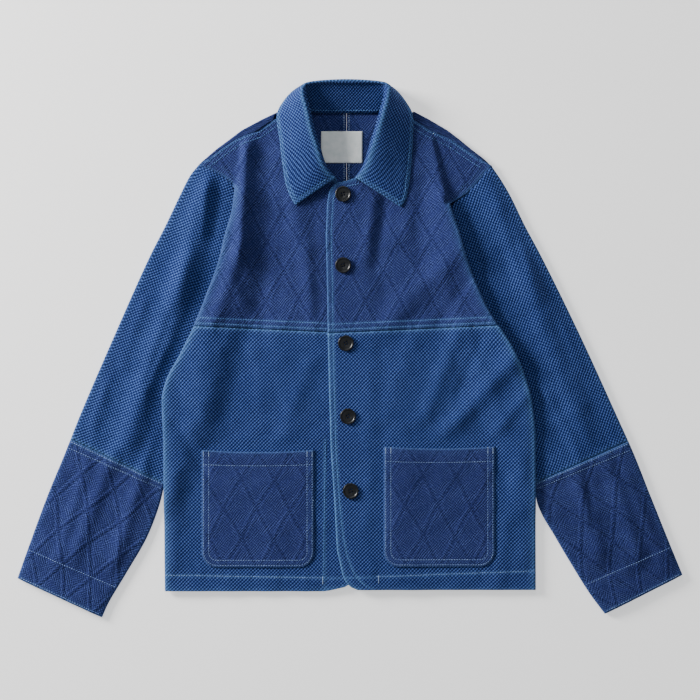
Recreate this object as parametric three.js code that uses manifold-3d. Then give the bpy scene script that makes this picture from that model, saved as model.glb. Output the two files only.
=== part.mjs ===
// A patched work jacket lying flat on a table, face up, with its sleeves down beside it.
// X runs across the chest towards the wearer's left, Y runs up to the collar, Z is up.
// Every piece of cloth is a thin closed wall. All sizes are in millimetres.

import * as THREE from 'three';
import Module from 'manifold-3d';
import { mergeVertices } from 'three/addons/utils/BufferGeometryUtils.js';

const wasm = await Module();
wasm.setup();

// Cloth and gaps
const CLOTH = 1.6;
const COLLAR_WALL = 3;
const SEAM = 0.3;
const LAYER_GAP = 0.5;

// Levels of the outer faces above the table
const FRONT_LEVEL = 7.4;
const SHOULDER_LEVEL = 7.6;
const SLEEVE_LEVEL = 7;
const TUCKED_LEVEL = 5.4;
const LIFT = 6.3;

// Main lines of the garment
const MIDDLE_Y = 2.3;
const CHEST_Y = 27;
const CHEST_SLOPE = -0.045;
const SLEEVE_SEAM = 2 / 3;
const CENTRE_BACK_X = -5;
const BACK_NECK_Y = 343;
const FRONT_TURN = 3.8;
const BACK_TURN = 3;
const OVERLAP_X = 22;

// Diamonds woven into the dark cloth stand proud along their lines
const DIAMOND_WIDTH = 48;
const DIAMOND_HEIGHT = 86;
const DIAMOND_RISE = 0.6;

// Buttons
const BUTTON_RADIUS = 11.5;
const BUTTON_HEIGHT = 3.4;
const BUTTON_DISH = 1;
const BUTTON_HOLE = 1.2;
const BUTTON_HOLE_OFFSET = 2.4;
const BUTTON_PLACES = [[-10, 223], [-10, 120], [-6, 7], [-3, -99], [1, -207]];

const LABEL = { left: -42, right: 18, bottom: 269, top: 315, thickness: 0.9 };

const pockets = {
  right: { left: -215, right: -52, top: -148, bottom: -318 },
  left: { left: 49, right: 210, top: -143, bottom: -317 },
};
const POCKET_CORNER = 22;
const POCKET_SAG = 3;

const finishes = {
  lightCloth: new THREE.MeshStandardMaterial({ color: 0x2a4f80, roughness: 0.92, metalness: 0 }),
  darkCloth: new THREE.MeshStandardMaterial({ color: 0x243f6c, roughness: 0.92, metalness: 0 }),
  label: new THREE.MeshStandardMaterial({ color: 0xaeb8b6, roughness: 0.8, metalness: 0 }),
  button: new THREE.MeshStandardMaterial({ color: 0x14161d, roughness: 0.45, metalness: 0 }),
};

// A smooth curve through a few points: value against position, flat beyond its ends
function through(points) {
  const xs = points.map((p) => p[0]);
  const ys = points.map((p) => p[1]);
  const last = xs.length - 1;
  const step = (i) => (ys[i + 1] - ys[i]) / (xs[i + 1] - xs[i]);
  const slopes = xs.map((x, i) => {
    if (i === 0) return step(0);
    if (i === last) return step(last - 1);
    const before = step(i - 1);
    const after = step(i);
    return before * after <= 0 ? 0 : (2 * before * after) / (before + after);
  });
  return (x) => {
    if (x <= xs[0]) return ys[0];
    if (x >= xs[last]) return ys[last];
    let i = 0;
    while (x > xs[i + 1]) i += 1;
    const h = xs[i + 1] - xs[i];
    const t = (x - xs[i]) / h;
    const a = ys[i] * (1 + 2 * t) * (1 - t) * (1 - t) + ys[i + 1] * t * t * (3 - 2 * t);
    return a + h * (slopes[i] * t * (1 - t) * (1 - t) - slopes[i + 1] * t * t * (1 - t));
  };
}

// The same with straight runs between the points
function straight(points) {
  return (x) => {
    let i = 0;
    while (i < points.length - 2 && x > points[i + 1][0]) i += 1;
    const [a, b] = [points[i], points[i + 1]];
    const t = Math.min(1, Math.max(0, (x - a[0]) / (b[0] - a[0])));
    return lerp(a[1], b[1], t);
  };
}

function lerp(a, b, t) {
  return a + (b - a) * t;
}

function smooth(low, high, x) {
  const t = Math.min(1, Math.max(0, (x - low) / (high - low)));
  return t * t * (3 - 2 * t);
}

// Rising numbers with those too close to the one before left out
function spaced(numbers) {
  return numbers.sort((a, b) => a - b).filter((y, i, all) => i === 0 || y - all[i - 1] > 3);
}

function evenly(from, to, count) {
  return Array.from({ length: count + 1 }, (_, i) => lerp(from, to, i / count));
}

// Sides are the wearer's: the right is at -X. Outlines give X against Y.
const sides = ['right', 'left'];
const outward = { right: -1, left: 1 };
const bodyEdge = {
  right: through([
    [-352, -269], [-132, -271], [-77, -273], [-51, -268], [-3, -243], [22, -229], [74, -210],
    [129, -190], [160, -183], [202, -171], [232, -167], [266, -161], [302, -158],
  ]),
  left: through([
    [-352, 270], [-132, 269], [-81, 264], [-42, 254], [-3, 236], [35, 210], [68, 194],
    [132, 168], [177, 155], [210, 144], [248, 135], [300, 122],
  ]),
};
const sleeveOuter = {
  right: through([
    [-334, -483], [-300, -471], [-213, -439], [-155, -415], [-97, -392], [19, -342],
    [135, -290], [178, -268], [222, -247], [251, -232], [266, -220],
  ]),
  left: through([
    [-329, 483], [-300, 471], [-213, 436], [-155, 413], [-97, 387], [19, 334],
    [135, 277], [178, 254], [223, 232], [245, 219], [264, 206],
  ]),
};
const sleeveInner = {
  right: through([
    [-391, -360], [-373, -352], [-329, -326], [-271, -293], [-225, -276], [-197, -269],
    [-120, -240], [-60, -215], [0, -196],
  ]),
  left: through([
    [-386, 370], [-358, 349], [-300, 313], [-271, 296], [-242, 279], [-225, 272], [-197, 267],
    [-120, 240], [-60, 215], [0, 193],
  ]),
};

// Where the two edges of a sleeve stand along its length, 0 at the armhole and 1 at the cuff
const sleeveRun = {
  right: {
    outer: through([[0, 266], [SLEEVE_SEAM, -132], [1, -334]]),
    inner: through([[0, 0], [SLEEVE_SEAM, -197], [1, -391]]),
  },
  left: {
    outer: through([[0, 264], [SLEEVE_SEAM, -135], [1, -329]]),
    inner: through([[0, 0], [SLEEVE_SEAM, -197], [1, -386]]),
  },
};

// Armhole seams from shoulder tip to armpit, as X and Y against the share of the sleeve's width
const armhole = {
  right: {
    x: through([[0, -220], [0.07, -207], [0.16, -184], [0.26, -167], [0.38, -158], [0.5, -157],
      [0.62, -161], [0.74, -171], [0.86, -183], [1, -196]]),
    y: through([[0, 266], [0.07, 261], [0.16, 249], [0.26, 232], [0.38, 193], [0.5, 158],
      [0.62, 120], [0.74, 82], [0.86, 44], [1, 0]]),
  },
  left: {
    x: through([[0, 206], [0.07, 197], [0.16, 183], [0.26, 166], [0.38, 143], [0.5, 143],
      [0.62, 149], [0.74, 161.5], [0.86, 176.5], [1, 193]]),
    y: through([[0, 264], [0.07, 255], [0.16, 237], [0.26, 222], [0.38, 198], [0.5, 162],
      [0.62, 120], [0.74, 80], [0.86, 42], [1, 0]]),
  },
};

const upperShares = [0.07, 0.16, 0.26, 0.38, 0.5, 0.62, 0.74, 0.86, 0.95];

// The armhole seam from armpit to shoulder tip as X against Y, moved towards the body
function armholeLine(side, apart) {
  return [1, ...[...upperShares].reverse(), 0].map((t) => [
    armhole[side].y(t), armhole[side].x(t) - outward[side] * apart,
  ]);
}

// Innermost reach of the sleeve under the body
const tuckLine = {
  right: through([[-262, -290], [-197, -269], [-120, -240], [-60, -215], [0, -196], [62, -178],
    [125, -159], [193, -156], [240, -160]]),
  left: through([[-262, 290], [-197, 267], [-120, 240], [-60, 215], [0, 193], [62, 168],
    [128, 145], [200, 141], [240, 160]]),
};

// Folds: soft ridges, and troughs with a negative height, each from one place to another
const folds = {
  right: [
    { from: [-150, 285], to: [-162, 140], width: 9, height: 5 },
    { from: [-162, 140], to: [-198, 60], width: 11, height: 2.5 },
    { from: [-126, 285], to: [-131, 60], width: 16, height: -2 },
    { from: [-76, 205], to: [-50, 60], width: 14, height: 3.5 },
    { from: [-200, 10], to: [-196, -110], width: 20, height: 3.5 },
  ],
  left: [
    { from: [106, 285], to: [95, 150], width: 15, height: 4 },
    { from: [95, 150], to: [55, 50], width: 16, height: 3.5 },
    { from: [122, 262], to: [140, 160], width: 11, height: 2.5 },
    { from: [198, 10], to: [115, -105], width: 15, height: 4 },
    { from: [240, -60], to: [205, -115], width: 12, height: 2 },
  ],
};
const sleeveFolds = {
  right: [
    { from: [-222, 215], to: [-250, 100], width: 15, height: 5 },
    { from: [-250, 100], to: [-330, -125], width: 17, height: 5 },
    { from: [-310, -190], to: [-345, -300], width: 11, height: 3 },
    { from: [-345, -160], to: [-395, -290], width: 12, height: 3 },
  ],
  left: [
    { from: [215, 215], to: [265, 90], width: 17, height: 4 },
    { from: [265, 90], to: [345, -120], width: 20, height: 4.5 },
    { from: [330, -190], to: [360, -290], width: 12, height: 3 },
    { from: [375, -170], to: [415, -290], width: 12, height: 2.5 },
  ],
};

function foldHeight(list, x, y) {
  let sum = 0;
  for (const { from, to, width, height } of list) {
    const dx = to[0] - from[0];
    const dy = to[1] - from[1];
    const length = Math.hypot(dx, dy);
    const along = ((x - from[0]) * dx + (y - from[1]) * dy) / length;
    const across = ((x - from[0]) * dy - (y - from[1]) * dx) / length;
    const past = Math.max(0, -along, along - length);
    sum += height * Math.exp(-((across / width) ** 2) - (past / (2 * width)) ** 2);
  }
  return sum;
}

// How far a place lies inside the edge of the body, across the garment
function insideBody(side, x, y) {
  return outward[side] * (bodyEdge[side](y) - x);
}

// How far a place lies over the tucked sleeve, measured outward from the sleeve's reach
function overSleeve(side, x, y) {
  return outward[side] * (x - tuckLine[side](y));
}

// Underside of the back, which climbs over the sleeve tucked under it
function backHeight(side, x, y) {
  const along = smooth(-258, -215, y) * (1 - smooth(0, 30, y));
  return LIFT * along * smooth(-40, -6, overSleeve(side, x, y));
}

// Outer face of a front over the back and the tucked sleeve
function frontHeight(side, x, y) {
  const along = smooth(-262, -217, y) * (1 - smooth(215, 268, y));
  const lift = LIFT * along * smooth(-48, -8, overSleeve(side, x, y));
  const folded = foldHeight(folds[side], x, y) * placketCalm(side, x) * pocketCalm(side, x, y);
  const body = FRONT_LEVEL + lift + overlapRise(side, x) + folded;
  const strip = smooth(-4, 4, insideBody(side, x, y));
  return y > 200 ? lerp(SHOULDER_LEVEL, body, strip) : body;
}

// Folds die out beside the buttons
function placketCalm(side, x) {
  return side === 'right' ? 1 - smooth(-62, -42, x) : smooth(16, 44, x);
}

// Folds die out above the pockets, which hold the cloth flat
function pocketCalm(side, x, y) {
  return smooth(pockets[side].top - 4, pockets[side].top + 34, y);
}

// The wearer's left front lies over the right one, so it stands higher there
function overlapRise(side, x) {
  const over = CLOTH + LAYER_GAP + 0.1;
  return side === 'left' ? over * (1 - smooth(26, 50, x)) : 0;
}

// What a sleeve's upper face adds to its edge level: nothing where the body presses on it
function sleeveSwell(side, x, y) {
  const outside = -insideBody(side, x, y);
  const free = Math.max(smooth(1, 26, outside), 1 - smooth(-262, -225, y), smooth(228, 240, y));
  return (1.2 + foldHeight(sleeveFolds[side], x, y)) * free;
}

// Share of the diamond line's rise at a place of the cloth: 1 on a line, 0 away from it
function diamond(x, y) {
  const across = (2 * x) / DIAMOND_WIDTH;
  const up = (2 * y) / DIAMOND_HEIGHT;
  const fromLine = (v) => Math.abs(v - 2 * Math.round(v / 2));
  const near = Math.min(fromLine(across + up), fromLine(across - up));
  return Math.max(0, 1 - near / 0.3);
}

// Closes a wall between two matching grids of points. Its rises pick the diagonals, so that
// a raised line runs along an edge. A closed wall joins the end of each row to its start.
function wallGeometry(outer, inner, { rises = null, closed = false } = {}) {
  const rows = outer.length;
  const columns = outer[0].length;
  const points = [...outer.flat(), ...inner.flat()];
  const faces = [];
  const at = (layer, row, column) => layer * rows * columns + row * columns + (column % columns);
  const quad = (a, b, c, d, other = false) => {
    if (other) faces.push([a, b, d], [b, c, d]);
    else faces.push([a, b, c], [a, c, d]);
  };
  const lastColumn = closed ? columns : columns - 1;
  for (let r = 0; r < rows - 1; r += 1) {
    for (let c = 0; c < lastColumn; c += 1) {
      const other = rises && rises[r][c + 1] + rises[r + 1][c] > rises[r][c] + rises[r + 1][c + 1];
      quad(at(0, r, c), at(0, r, c + 1), at(0, r + 1, c + 1), at(0, r + 1, c), other);
      quad(at(1, r, c), at(1, r + 1, c), at(1, r + 1, c + 1), at(1, r, c + 1));
    }
    if (!closed) {
      quad(at(0, r, 0), at(0, r + 1, 0), at(1, r + 1, 0), at(1, r, 0));
      const c = columns - 1;
      quad(at(0, r, c), at(1, r, c), at(1, r + 1, c), at(0, r + 1, c));
    }
  }
  for (let c = 0; c < lastColumn; c += 1) {
    quad(at(0, 0, c), at(1, 0, c), at(1, 0, c + 1), at(0, 0, c + 1));
    const r = rows - 1;
    quad(at(0, r, c), at(0, r, c + 1), at(1, r, c + 1), at(1, r, c));
  }
  const made = new THREE.BufferGeometry();
  made.setAttribute('position', new THREE.Float32BufferAttribute(points.flat(), 3));
  made.setIndex(faces.flat());
  return tidyGeometry(made);
}

// Merges points that meet and drops the faces that closed up
function tidyGeometry(made) {
  const merged = mergeVertices(made, 1e-3);
  const index = Array.from(merged.index.array);
  const kept = [];
  for (let k = 0; k < index.length; k += 3) {
    const [a, b, c] = index.slice(k, k + 3);
    if (a !== b && b !== c && c !== a) kept.push(a, b, c);
  }
  merged.setIndex(kept);
  merged.computeVertexNormals();
  return merged;
}

// Columns of a row: lattice places between its two ends, pulled to the nearer end past them
function columnsOf(lattice, low, high, margin) {
  return [low, ...lattice.map((x) => {
    if (x < low + margin) return low;
    if (x > high - margin) return high;
    return x;
  }), high];
}

// A front panel: rows across the garment, its outer edge bending down like cloth at a fold.
// Columns run from the outer edge to the middle. The middle edge is cut.
function frontPanel(side, { rows, outerX, middleX, lattice, turn, tilt, rise, height }) {
  const steps = 3;
  const sign = outward[side];
  const outer = [];
  const inner = [];
  const rises = [];
  for (const row of rows) {
    const angle = turn(row);
    const reach = FRONT_TURN * Math.sin(Math.min(angle, Math.PI / 2));
    const flat = outerX(row) - sign * reach;
    const ends = [Math.min(flat, middleX(row)), Math.max(flat, middleX(row))];
    const xs = columnsOf(lattice, ends[0], ends[1], 4);
    if (side === 'left') xs.reverse();
    const outerRow = [];
    const innerRow = [];
    const riseRow = [];
    const edgeY = row + tilt(flat, row);
    const level = height(flat, edgeY);
    for (let k = steps; k > 0; k -= 1) {
      const a = (angle * k) / steps;
      const bend = (r) => [flat + sign * r * Math.sin(a), edgeY, level - FRONT_TURN + r * Math.cos(a)];
      outerRow.push(bend(FRONT_TURN));
      innerRow.push(bend(FRONT_TURN - CLOTH));
      riseRow.push(0);
    }
    for (const x of xs) {
      const y = row + tilt(x, row);
      const z = height(x, y);
      const steep = steepness(height, x, y);
      const lifted = rise(x, row);
      outerRow.push([x, y, z + lifted]);
      innerRow.push([x, y, z - CLOTH * steep]);
      riseRow.push(lifted);
    }
    outer.push(outerRow);
    inner.push(innerRow);
    rises.push(riseRow);
  }
  // Rows run from -X to +X so that the outer face looks up
  if (side === 'left') [outer, inner, rises].forEach((grid) => grid.forEach((row) => row.reverse()));
  return wallGeometry(outer, inner, { rises });
}

// Length of a height's slope: a wall measured straight up is this much thicker
function steepness(height, x, y) {
  const e = 1;
  const across = (height(x + e, y) - height(x - e, y)) / (2 * e);
  const along = (height(x, y + e) - height(x, y - e)) / (2 * e);
  return Math.min(1.6, Math.hypot(across, along, 1));
}

// Outlines of the dark upper fronts: shoulder seam and armhole outside, neck and edge inside
const seamMeetsFold = { right: 232, left: 209 };
const yokeOuter = {
  right: straight([
    ...evenly(-100, 226, 22).map((y) => [y, bodyEdge.right(y)]),
    ...armholeLine('right', 0.8).filter(([y]) => y > 228),
    [270, -214], [276, -204], [289, -187], [303, -166], [316, -133], [332, -110],
  ]),
  left: straight([
    ...evenly(-100, 206, 22).map((y) => [y, bodyEdge.left(y)]), [209, 144.5],
    ...armholeLine('left', 0.8).filter(([y]) => y > 212),
    [270, 196.5], [276, 186], [289, 167], [303, 146], [316, 116], [332, 92],
  ]),
};
const shoulderRows = [276, 289, 303, 316, 332];
const yokeMiddle = {
  right: straight([
    [0, OVERLAP_X], [229, OVERLAP_X], [235, 3], [242, -20], [255, -41], [276, -67], [302, -81],
    [325, -87], [332, -86],
  ]),
  left: straight([
    [0, -32], [77, -33], [165, -35], [210, -33], [229, -30], [238, -22], [245, 4], [255, 26],
    [276, 52], [302, 67], [325, 73], [332, 71],
  ]),
};

function seamTilt(side, x, y) {
  const middle = side === 'right' ? -120 : 90;
  const slope = side === 'right' ? CHEST_SLOPE : -CHEST_SLOPE;
  return slope * (x - middle) * (1 - smooth(0, 45, Math.abs(y - CHEST_Y)));
}

function yoke(side) {
  const meets = seamMeetsFold[side];
  const quarter = DIAMOND_HEIGHT / 4;
  const low = CHEST_Y + SEAM / 2;
  const seamRows = armholeLine(side, 0).map(([y]) => y).filter((y) => y > meets + 3);
  const rows = spaced([low, ...evenly(1, 8, 7).map((k) => low + k * quarter), meets, ...seamRows,
    ...shoulderRows]);
  const lattice = evenly(-20, 20, 40).map((k) => (k * DIAMOND_WIDTH) / 4)
    .filter((x) => outward[side] * x > -40);
  const shape = {
    rows,
    lattice,
    outerX: yokeOuter[side],
    middleX: yokeMiddle[side],
    turn: (y) => lerp(2.6, 0.7, smooth(meets - 12, meets + 6, y)),
    tilt: (x, y) => seamTilt(side, x, y),
    rise: (x, y) => DIAMOND_RISE * diamond(x, y - low) * smooth(CHEST_Y, CHEST_Y + 20, y),
    height: (x, y) => frontHeight(side, x, y),
  };
  return frontPanel(side, shape);
}

// The light lower fronts, with a round lower corner at the front edge
const frontMiddle = {
  right: straight([
    [-354, -45], [-352, -30], [-347, -8], [-340, 4], [-329, 13], [-315, OVERLAP_X], [40, OVERLAP_X],
  ]),
  left: straight([
    [-354, 20], [-352, 14], [-347, 2], [-340, -6], [-329, -11], [-293, -19], [-220, -23],
    [-148, -28], [-75, -30], [26, -32.5],
  ]),
};

function lowerFront(side) {
  const hem = side === 'right' ? -353 : -351;
  const { top, bottom } = pockets[side];
  const pocketRow = (top - bottom) / 8;
  const low = CHEST_Y - SEAM / 2;
  const rows = spaced([hem, hem + 5, hem + 13, ...evenly(0, 8, 8).map((k) => bottom + k * pocketRow),
    ...evenly(top + pocketRow, low - pocketRow, 6), low]);
  const { left, right } = pockets[side];
  const step = (right - left) / 9;
  const lattice = evenly(-8, 18, 26).map((k) => left + k * step);
  return frontPanel(side, {
    rows,
    lattice,
    outerX: bodyEdge[side],
    middleX: frontMiddle[side],
    turn: (y) => lerp(Math.PI / 2, 2.6, smooth(-70, -20, y)),
    tilt: (x, y) => seamTilt(side, x, y),
    rise: () => 0,
    height: (x, y) => frontHeight(side, x, y),
  });
}

// A patch pocket a little above the front, with round lower corners and a sagging top edge
function pocket(side) {
  const { left, right, top, bottom } = pockets[side];
  const columns = Math.round((right - left) / (DIAMOND_WIDTH / 4)) + 1;
  const rows = [bottom, bottom + 2.5, bottom + 8, ...evenly(bottom + POCKET_CORNER, top, 7)];
  const middle = (left + right) / 2;
  const half = (right - left) / 2;
  const outer = [];
  const inner = [];
  const rises = [];
  for (const row of rows) {
    const down = Math.max(0, bottom + POCKET_CORNER - row);
    const inset = POCKET_CORNER - Math.sqrt(POCKET_CORNER ** 2 - down ** 2);
    const width = half - inset;
    const share = smooth(top - 60, top, row);
    const places = evenly(-1, 1, columns).map((f) => {
      const x = middle + f * width;
      return [x, row - POCKET_SAG * share * (1 - f * f)];
    });
    const level = ([x, y]) => frontHeight(side, x, y) + LAYER_GAP;
    const lifts = places.map(([x, y]) => DIAMOND_RISE * diamond(x - middle, y - top));
    outer.push(places.map((p, i) => [p[0], p[1], level(p) + CLOTH + lifts[i]]));
    inner.push(places.map((p) => [p[0], p[1], level(p)]));
    rises.push(lifts);
  }
  return wallGeometry(outer, inner, { rises });
}

// A back half: flat on the table, turned up at the side seam and wrapped over the shoulder
const backOuter = {
  right: straight([
    ...evenly(-349, -60, 20).map((y) => [y, bodyEdge.right(y)]), [-30, -252], [-8, -204],
    ...armholeLine('right', 0.5), [270, -216], [276, -209], [289, -194], [303, -175],
    [316, -158], [332, -128], [343, -105],
  ]),
  left: straight([
    ...evenly(-349, -60, 20).map((y) => [y, bodyEdge.left(y)]), [-30, 248], [-8, 202],
    ...armholeLine('left', 0.5), [269, 201], [276, 193], [289, 176], [303, 159],
    [316, 142], [332, 115], [343, 94],
  ]),
};

function back(side) {
  const sign = outward[side];
  const rows = spaced([-349, -300, -258, -236, -214, -180, -140, -100, -60, -30, -8,
    ...armholeLine(side, 0).map(([y]) => y), 20, 270, ...shoulderRows, BACK_NECK_Y]);
  const middle = CENTRE_BACK_X + (sign * SEAM) / 2;
  const steps = 3;
  const outer = [];
  const inner = [];
  for (const y of rows) {
    const edge = backOuter[side](y);
    const overShoulder = smooth(264, 272, y);
    const atSide = 1 - smooth(-62, -20, y);
    const angle = Math.max(0.25, (Math.PI / 2) * atSide, Math.PI * overShoulder);
    const seamX = yokeOuter[side](y) + sign * SEAM;
    const room = overShoulder > 0.5 ? Math.abs(edge - seamX) : BACK_TURN;
    const across = Math.max(2.4, Math.min(lerp(BACK_TURN, SHOULDER_LEVEL / 2, overShoulder), room));
    const up = lerp(BACK_TURN, SHOULDER_LEVEL / 2, overShoulder);
    const flat = edge - sign * across * Math.sin(Math.min(angle, Math.PI / 2));
    const base = backHeight(side, flat, y);
    const lower = [];
    const upper = [];
    const bend = (a, inward) => [
      flat + sign * (across - inward) * Math.sin(a), y, base + up - (up - inward) * Math.cos(a),
    ];
    const strip = overShoulder > 0.5 && Math.abs(flat - seamX) > 0.6 && sign * (flat - seamX) > 0;
    const strapLow = bend(angle, 0);
    const strapHigh = bend(angle, CLOTH);
    lower.push(strip ? [seamX, y, strapLow[2]] : strapLow);
    upper.push(strip ? [seamX, y, strapHigh[2]] : strapHigh);
    for (let k = steps; k > 0; k -= 1) {
      lower.push(bend((angle * k) / steps, 0));
      upper.push(bend((angle * k) / steps, CLOTH));
    }
    const within = (x) => sign * Math.min(sign * flat, Math.max(sign * middle, sign * x));
    const climbEnds = within(tuckLine[side](y) - sign * 7);
    const climbStarts = within(tuckLine[side](y) - sign * 42);
    const xs = [flat, (flat + climbEnds) / 2, climbEnds, (climbEnds + climbStarts) / 2,
      ...evenly(climbStarts, middle, 5)];
    for (const x of xs) {
      const z = backHeight(side, x, y);
      lower.push([x, y, z]);
      upper.push([x, y, z + CLOTH * steepness((a, b) => backHeight(side, a, b), x, y)]);
    }
    if (side === 'left') [lower, upper].forEach((row) => row.reverse());
    outer.push(upper);
    inner.push(lower);
  }
  return wallGeometry(outer, inner);
}

// A flattened sleeve tube: rings from armhole to cuff, open at both ends
const lowerShares = evenly(0.06, 0.94, 11);
const underShares = [0.95, 0.74, 0.5, 0.26, 0.16, 0.07];

function sleevePlace(side, s, t) {
  const run = sleeveRun[side];
  const outerY = run.outer(s);
  const innerY = run.inner(s);
  const hole = armhole[side];
  const straightX = lerp(sleeveOuter[side](run.outer(0)), sleeveInner[side](run.inner(0)), t);
  const straightY = lerp(run.outer(0), run.inner(0), t);
  const stays = Math.max(0, 1 - s / 0.6) ** 3;
  return [
    lerp(sleeveOuter[side](outerY), sleeveInner[side](innerY), t) + stays * (hole.x(t) - straightX),
    lerp(outerY, innerY, t) + stays * (hole.y(t) - straightY),
  ];
}

function sleeveRing(side, s, shares, raised) {
  const outerRadius = SLEEVE_LEVEL / 2;
  const innerRadius = lerp(TUCKED_LEVEL, SLEEVE_LEVEL, smooth(0.6, 0.9, s)) / 2;
  const outer = [];
  const inner = [];
  const rises = [];
  const put = (x, y, z, xi, yi, zi, lifted) => {
    outer.push([x, y, z + lifted]);
    inner.push([xi, yi, zi]);
    rises.push(lifted);
  };
  const edge = (t, near, radius, turns) => {
    const [x, y] = sleevePlace(side, s, t);
    const [nx, ny] = sleevePlace(side, s, near);
    const length = Math.hypot(nx - x, ny - y);
    const d = [(nx - x) / length, (ny - y) / length];
    for (const a of turns) {
      const at = (r) => radius - r * Math.cos(a);
      put(x + d[0] * at(radius), y + d[1] * at(radius), radius + radius * Math.sin(a),
        x + d[0] * at(radius - CLOTH), y + d[1] * at(radius - CLOTH),
        radius + (radius - CLOTH) * Math.sin(a), 0);
    }
  };
  const down = evenly(Math.PI / 2, -Math.PI / 2, 3);
  edge(0, shares[0], outerRadius, [...down].reverse());
  shares.forEach((t, k) => {
    const [x, y] = sleevePlace(side, s, t);
    const flat = lerp(2 * innerRadius, SHOULDER_LEVEL, smooth(215, 245, y));
    const level = lerp(2 * outerRadius, flat, smooth(0, 0.2, t));
    const fall = smooth(0, 0.14, t) * smooth(0, 0.14, 1 - t);
    const z = level + sleeveSwell(side, x, y) * fall;
    put(x, y, z, x, y, z - CLOTH * 1.05, raised(k));
  });
  edge(1, shares[shares.length - 1], innerRadius, down);
  for (const t of underShares) {
    const [x, y] = sleevePlace(side, s, t);
    put(x, y, 0, x, y, CLOTH, 0);
  }
  return { outer, inner, rises };
}

function sleeveTube(side, stations, shares, raised) {
  const rings = stations.map((s, row) => sleeveRing(side, s, shares, (k) => raised(row, k)));
  // On the wearer's right the rings run the other way round, so they are turned to face out
  const turned = (grid) => (side === 'right' ? grid : grid.map((ring) => [...ring].reverse()));
  const outer = turned(rings.map((ring) => ring.outer)).reverse();
  const inner = turned(rings.map((ring) => ring.inner)).reverse();
  const rises = turned(rings.map((ring) => ring.rises)).reverse()
    .map((row) => [...row, row[0]]);
  return wallGeometry(outer, inner, { rises, closed: true });
}

const HALF_SEAM = 0.0004;

function sleeveUpper(side) {
  const stations = [0, 0.03, ...evenly(0.08, SLEEVE_SEAM - HALF_SEAM, 11)];
  return sleeveTube(side, stations, upperShares, () => 0);
}

function sleeveLower(side) {
  const onLine = (row, k) => (row + k) % 4 === 0 || (row - k + 12) % 4 === 0;
  const raised = (row, k) => (onLine(row, k) && row < 9 ? DIAMOND_RISE : 0);
  return sleeveTube(side, evenly(SLEEVE_SEAM + HALF_SEAM, 1, 10), lowerShares, raised);
}

// The collar: sections from the wearer's right front, round the back neck, to the left front.
// Each gives the neck seam, the inner edge of the roll and the outer edge of the fall.
const collarSections = [
  { seam: [-19, 243], roll: [-21, 246, 15], fall: [-79, 207] },
  { seam: [-31, 250], roll: [-30, 256, 20], fall: [-86, 219] },
  { seam: [-47, 261], roll: [-38, 269, 25], fall: [-93, 238] },
  { seam: [-66, 276], roll: [-45, 291, 30], fall: [-98, 269] },
  { seam: [-79, 300], roll: [-53, 316, 34], fall: [-102, 303] },
  { seam: [-84, 322], roll: [-59, 343, 36], fall: [-106, 336] },
  { seam: [-79, 338, 9], roll: [-64, 363, 35], fall: [-97, 357, 8] },
  { seam: [-66, 344, 5], roll: [-62, 377, 33], fall: [-78, 376, 4.5] },
  { seam: [-48, 343, 4], roll: [-45, 381, 31], fall: [-52, 383, 2.4] },
  { seam: [-5, 343, 3.6], roll: [-5, 380, 30], fall: [-5, 383, 2] },
  { seam: [38, 343, 4], roll: [35, 381, 31], fall: [42, 383, 2.4] },
  { seam: [55, 344, 5], roll: [50, 377, 33], fall: [64, 376, 4.5] },
  { seam: [66, 338, 9], roll: [50, 363, 35], fall: [81, 357, 8] },
  { seam: [71, 322], roll: [45, 341, 36], fall: [91, 336] },
  { seam: [67, 300], roll: [38, 317, 34], fall: [91, 303] },
  { seam: [55, 276], roll: [30, 292, 30], fall: [89, 269] },
  { seam: [37, 260], roll: [23, 270, 26], fall: [86, 240] },
  { seam: [21, 249], roll: [16, 256, 22], fall: [81, 217] },
  { seam: [9, 243], roll: [8, 246, 19], fall: [74, 204] },
];

// The level of a collar edge that lies on a front or a shoulder
function onFront([x, y, z]) {
  if (z !== undefined) return [x, y, z];
  const side = x < CENTRE_BACK_X ? 'right' : 'left';
  return [x, y, frontHeight(side, x, y) + DIAMOND_RISE + LAYER_GAP + COLLAR_WALL / 2];
}
const ROLL_RADIUS = 5;

// The line of one section: up the stand, over the roll and down the fall
function sectionLine({ seam, roll, fall }) {
  const seamAt = new THREE.Vector3(...onFront(seam));
  const rollAt = new THREE.Vector3(...roll);
  const fallAt = new THREE.Vector3(...onFront(fall));
  const out = fallAt.clone().sub(rollAt).setZ(0).normalize();
  const size = Math.min(ROLL_RADIUS, (roll[2] - seamAt.z) / 2);
  const edge = rollAt.clone().add(new THREE.Vector3(0, 0, -size));
  const over = (a) => edge.clone().addScaledVector(out, size * (1 - Math.cos(a)))
    .add(new THREE.Vector3(0, 0, size * Math.sin(a)));
  const crest = over(Math.PI / 2);
  const between = (a, b, t, lift) => a.clone().lerp(b, t).add(new THREE.Vector3(0, 0, lift));
  const line = [
    seamAt,
    between(seamAt, edge, 0.5, -0.5),
    edge,
    over(Math.PI / 4),
    crest,
    between(crest, fallAt, 0.25, 1.5),
    between(crest, fallAt, 0.6, 1.2),
    fallAt,
  ];
  return line.map((p) => p.toArray());
}

// A smooth surface through the section lines, as a point for a share round and a share across
function collarSurface() {
  const lines = collarSections.map(sectionLine);
  const columns = lines[0].map((_, k) => new THREE.CatmullRomCurve3(
    lines.map((line) => new THREE.Vector3(...line[k])),
    false,
    'catmullrom',
    0.5,
  ));
  const last = columns.length - 1;
  return (u, v) => {
    const k = Math.min(last - 1, Math.floor(v));
    const a = columns[k].getPoint(Math.min(1, Math.max(0, u)));
    const b = columns[k + 1].getPoint(Math.min(1, Math.max(0, u)));
    return a.lerp(b, v - k);
  };
}

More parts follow.
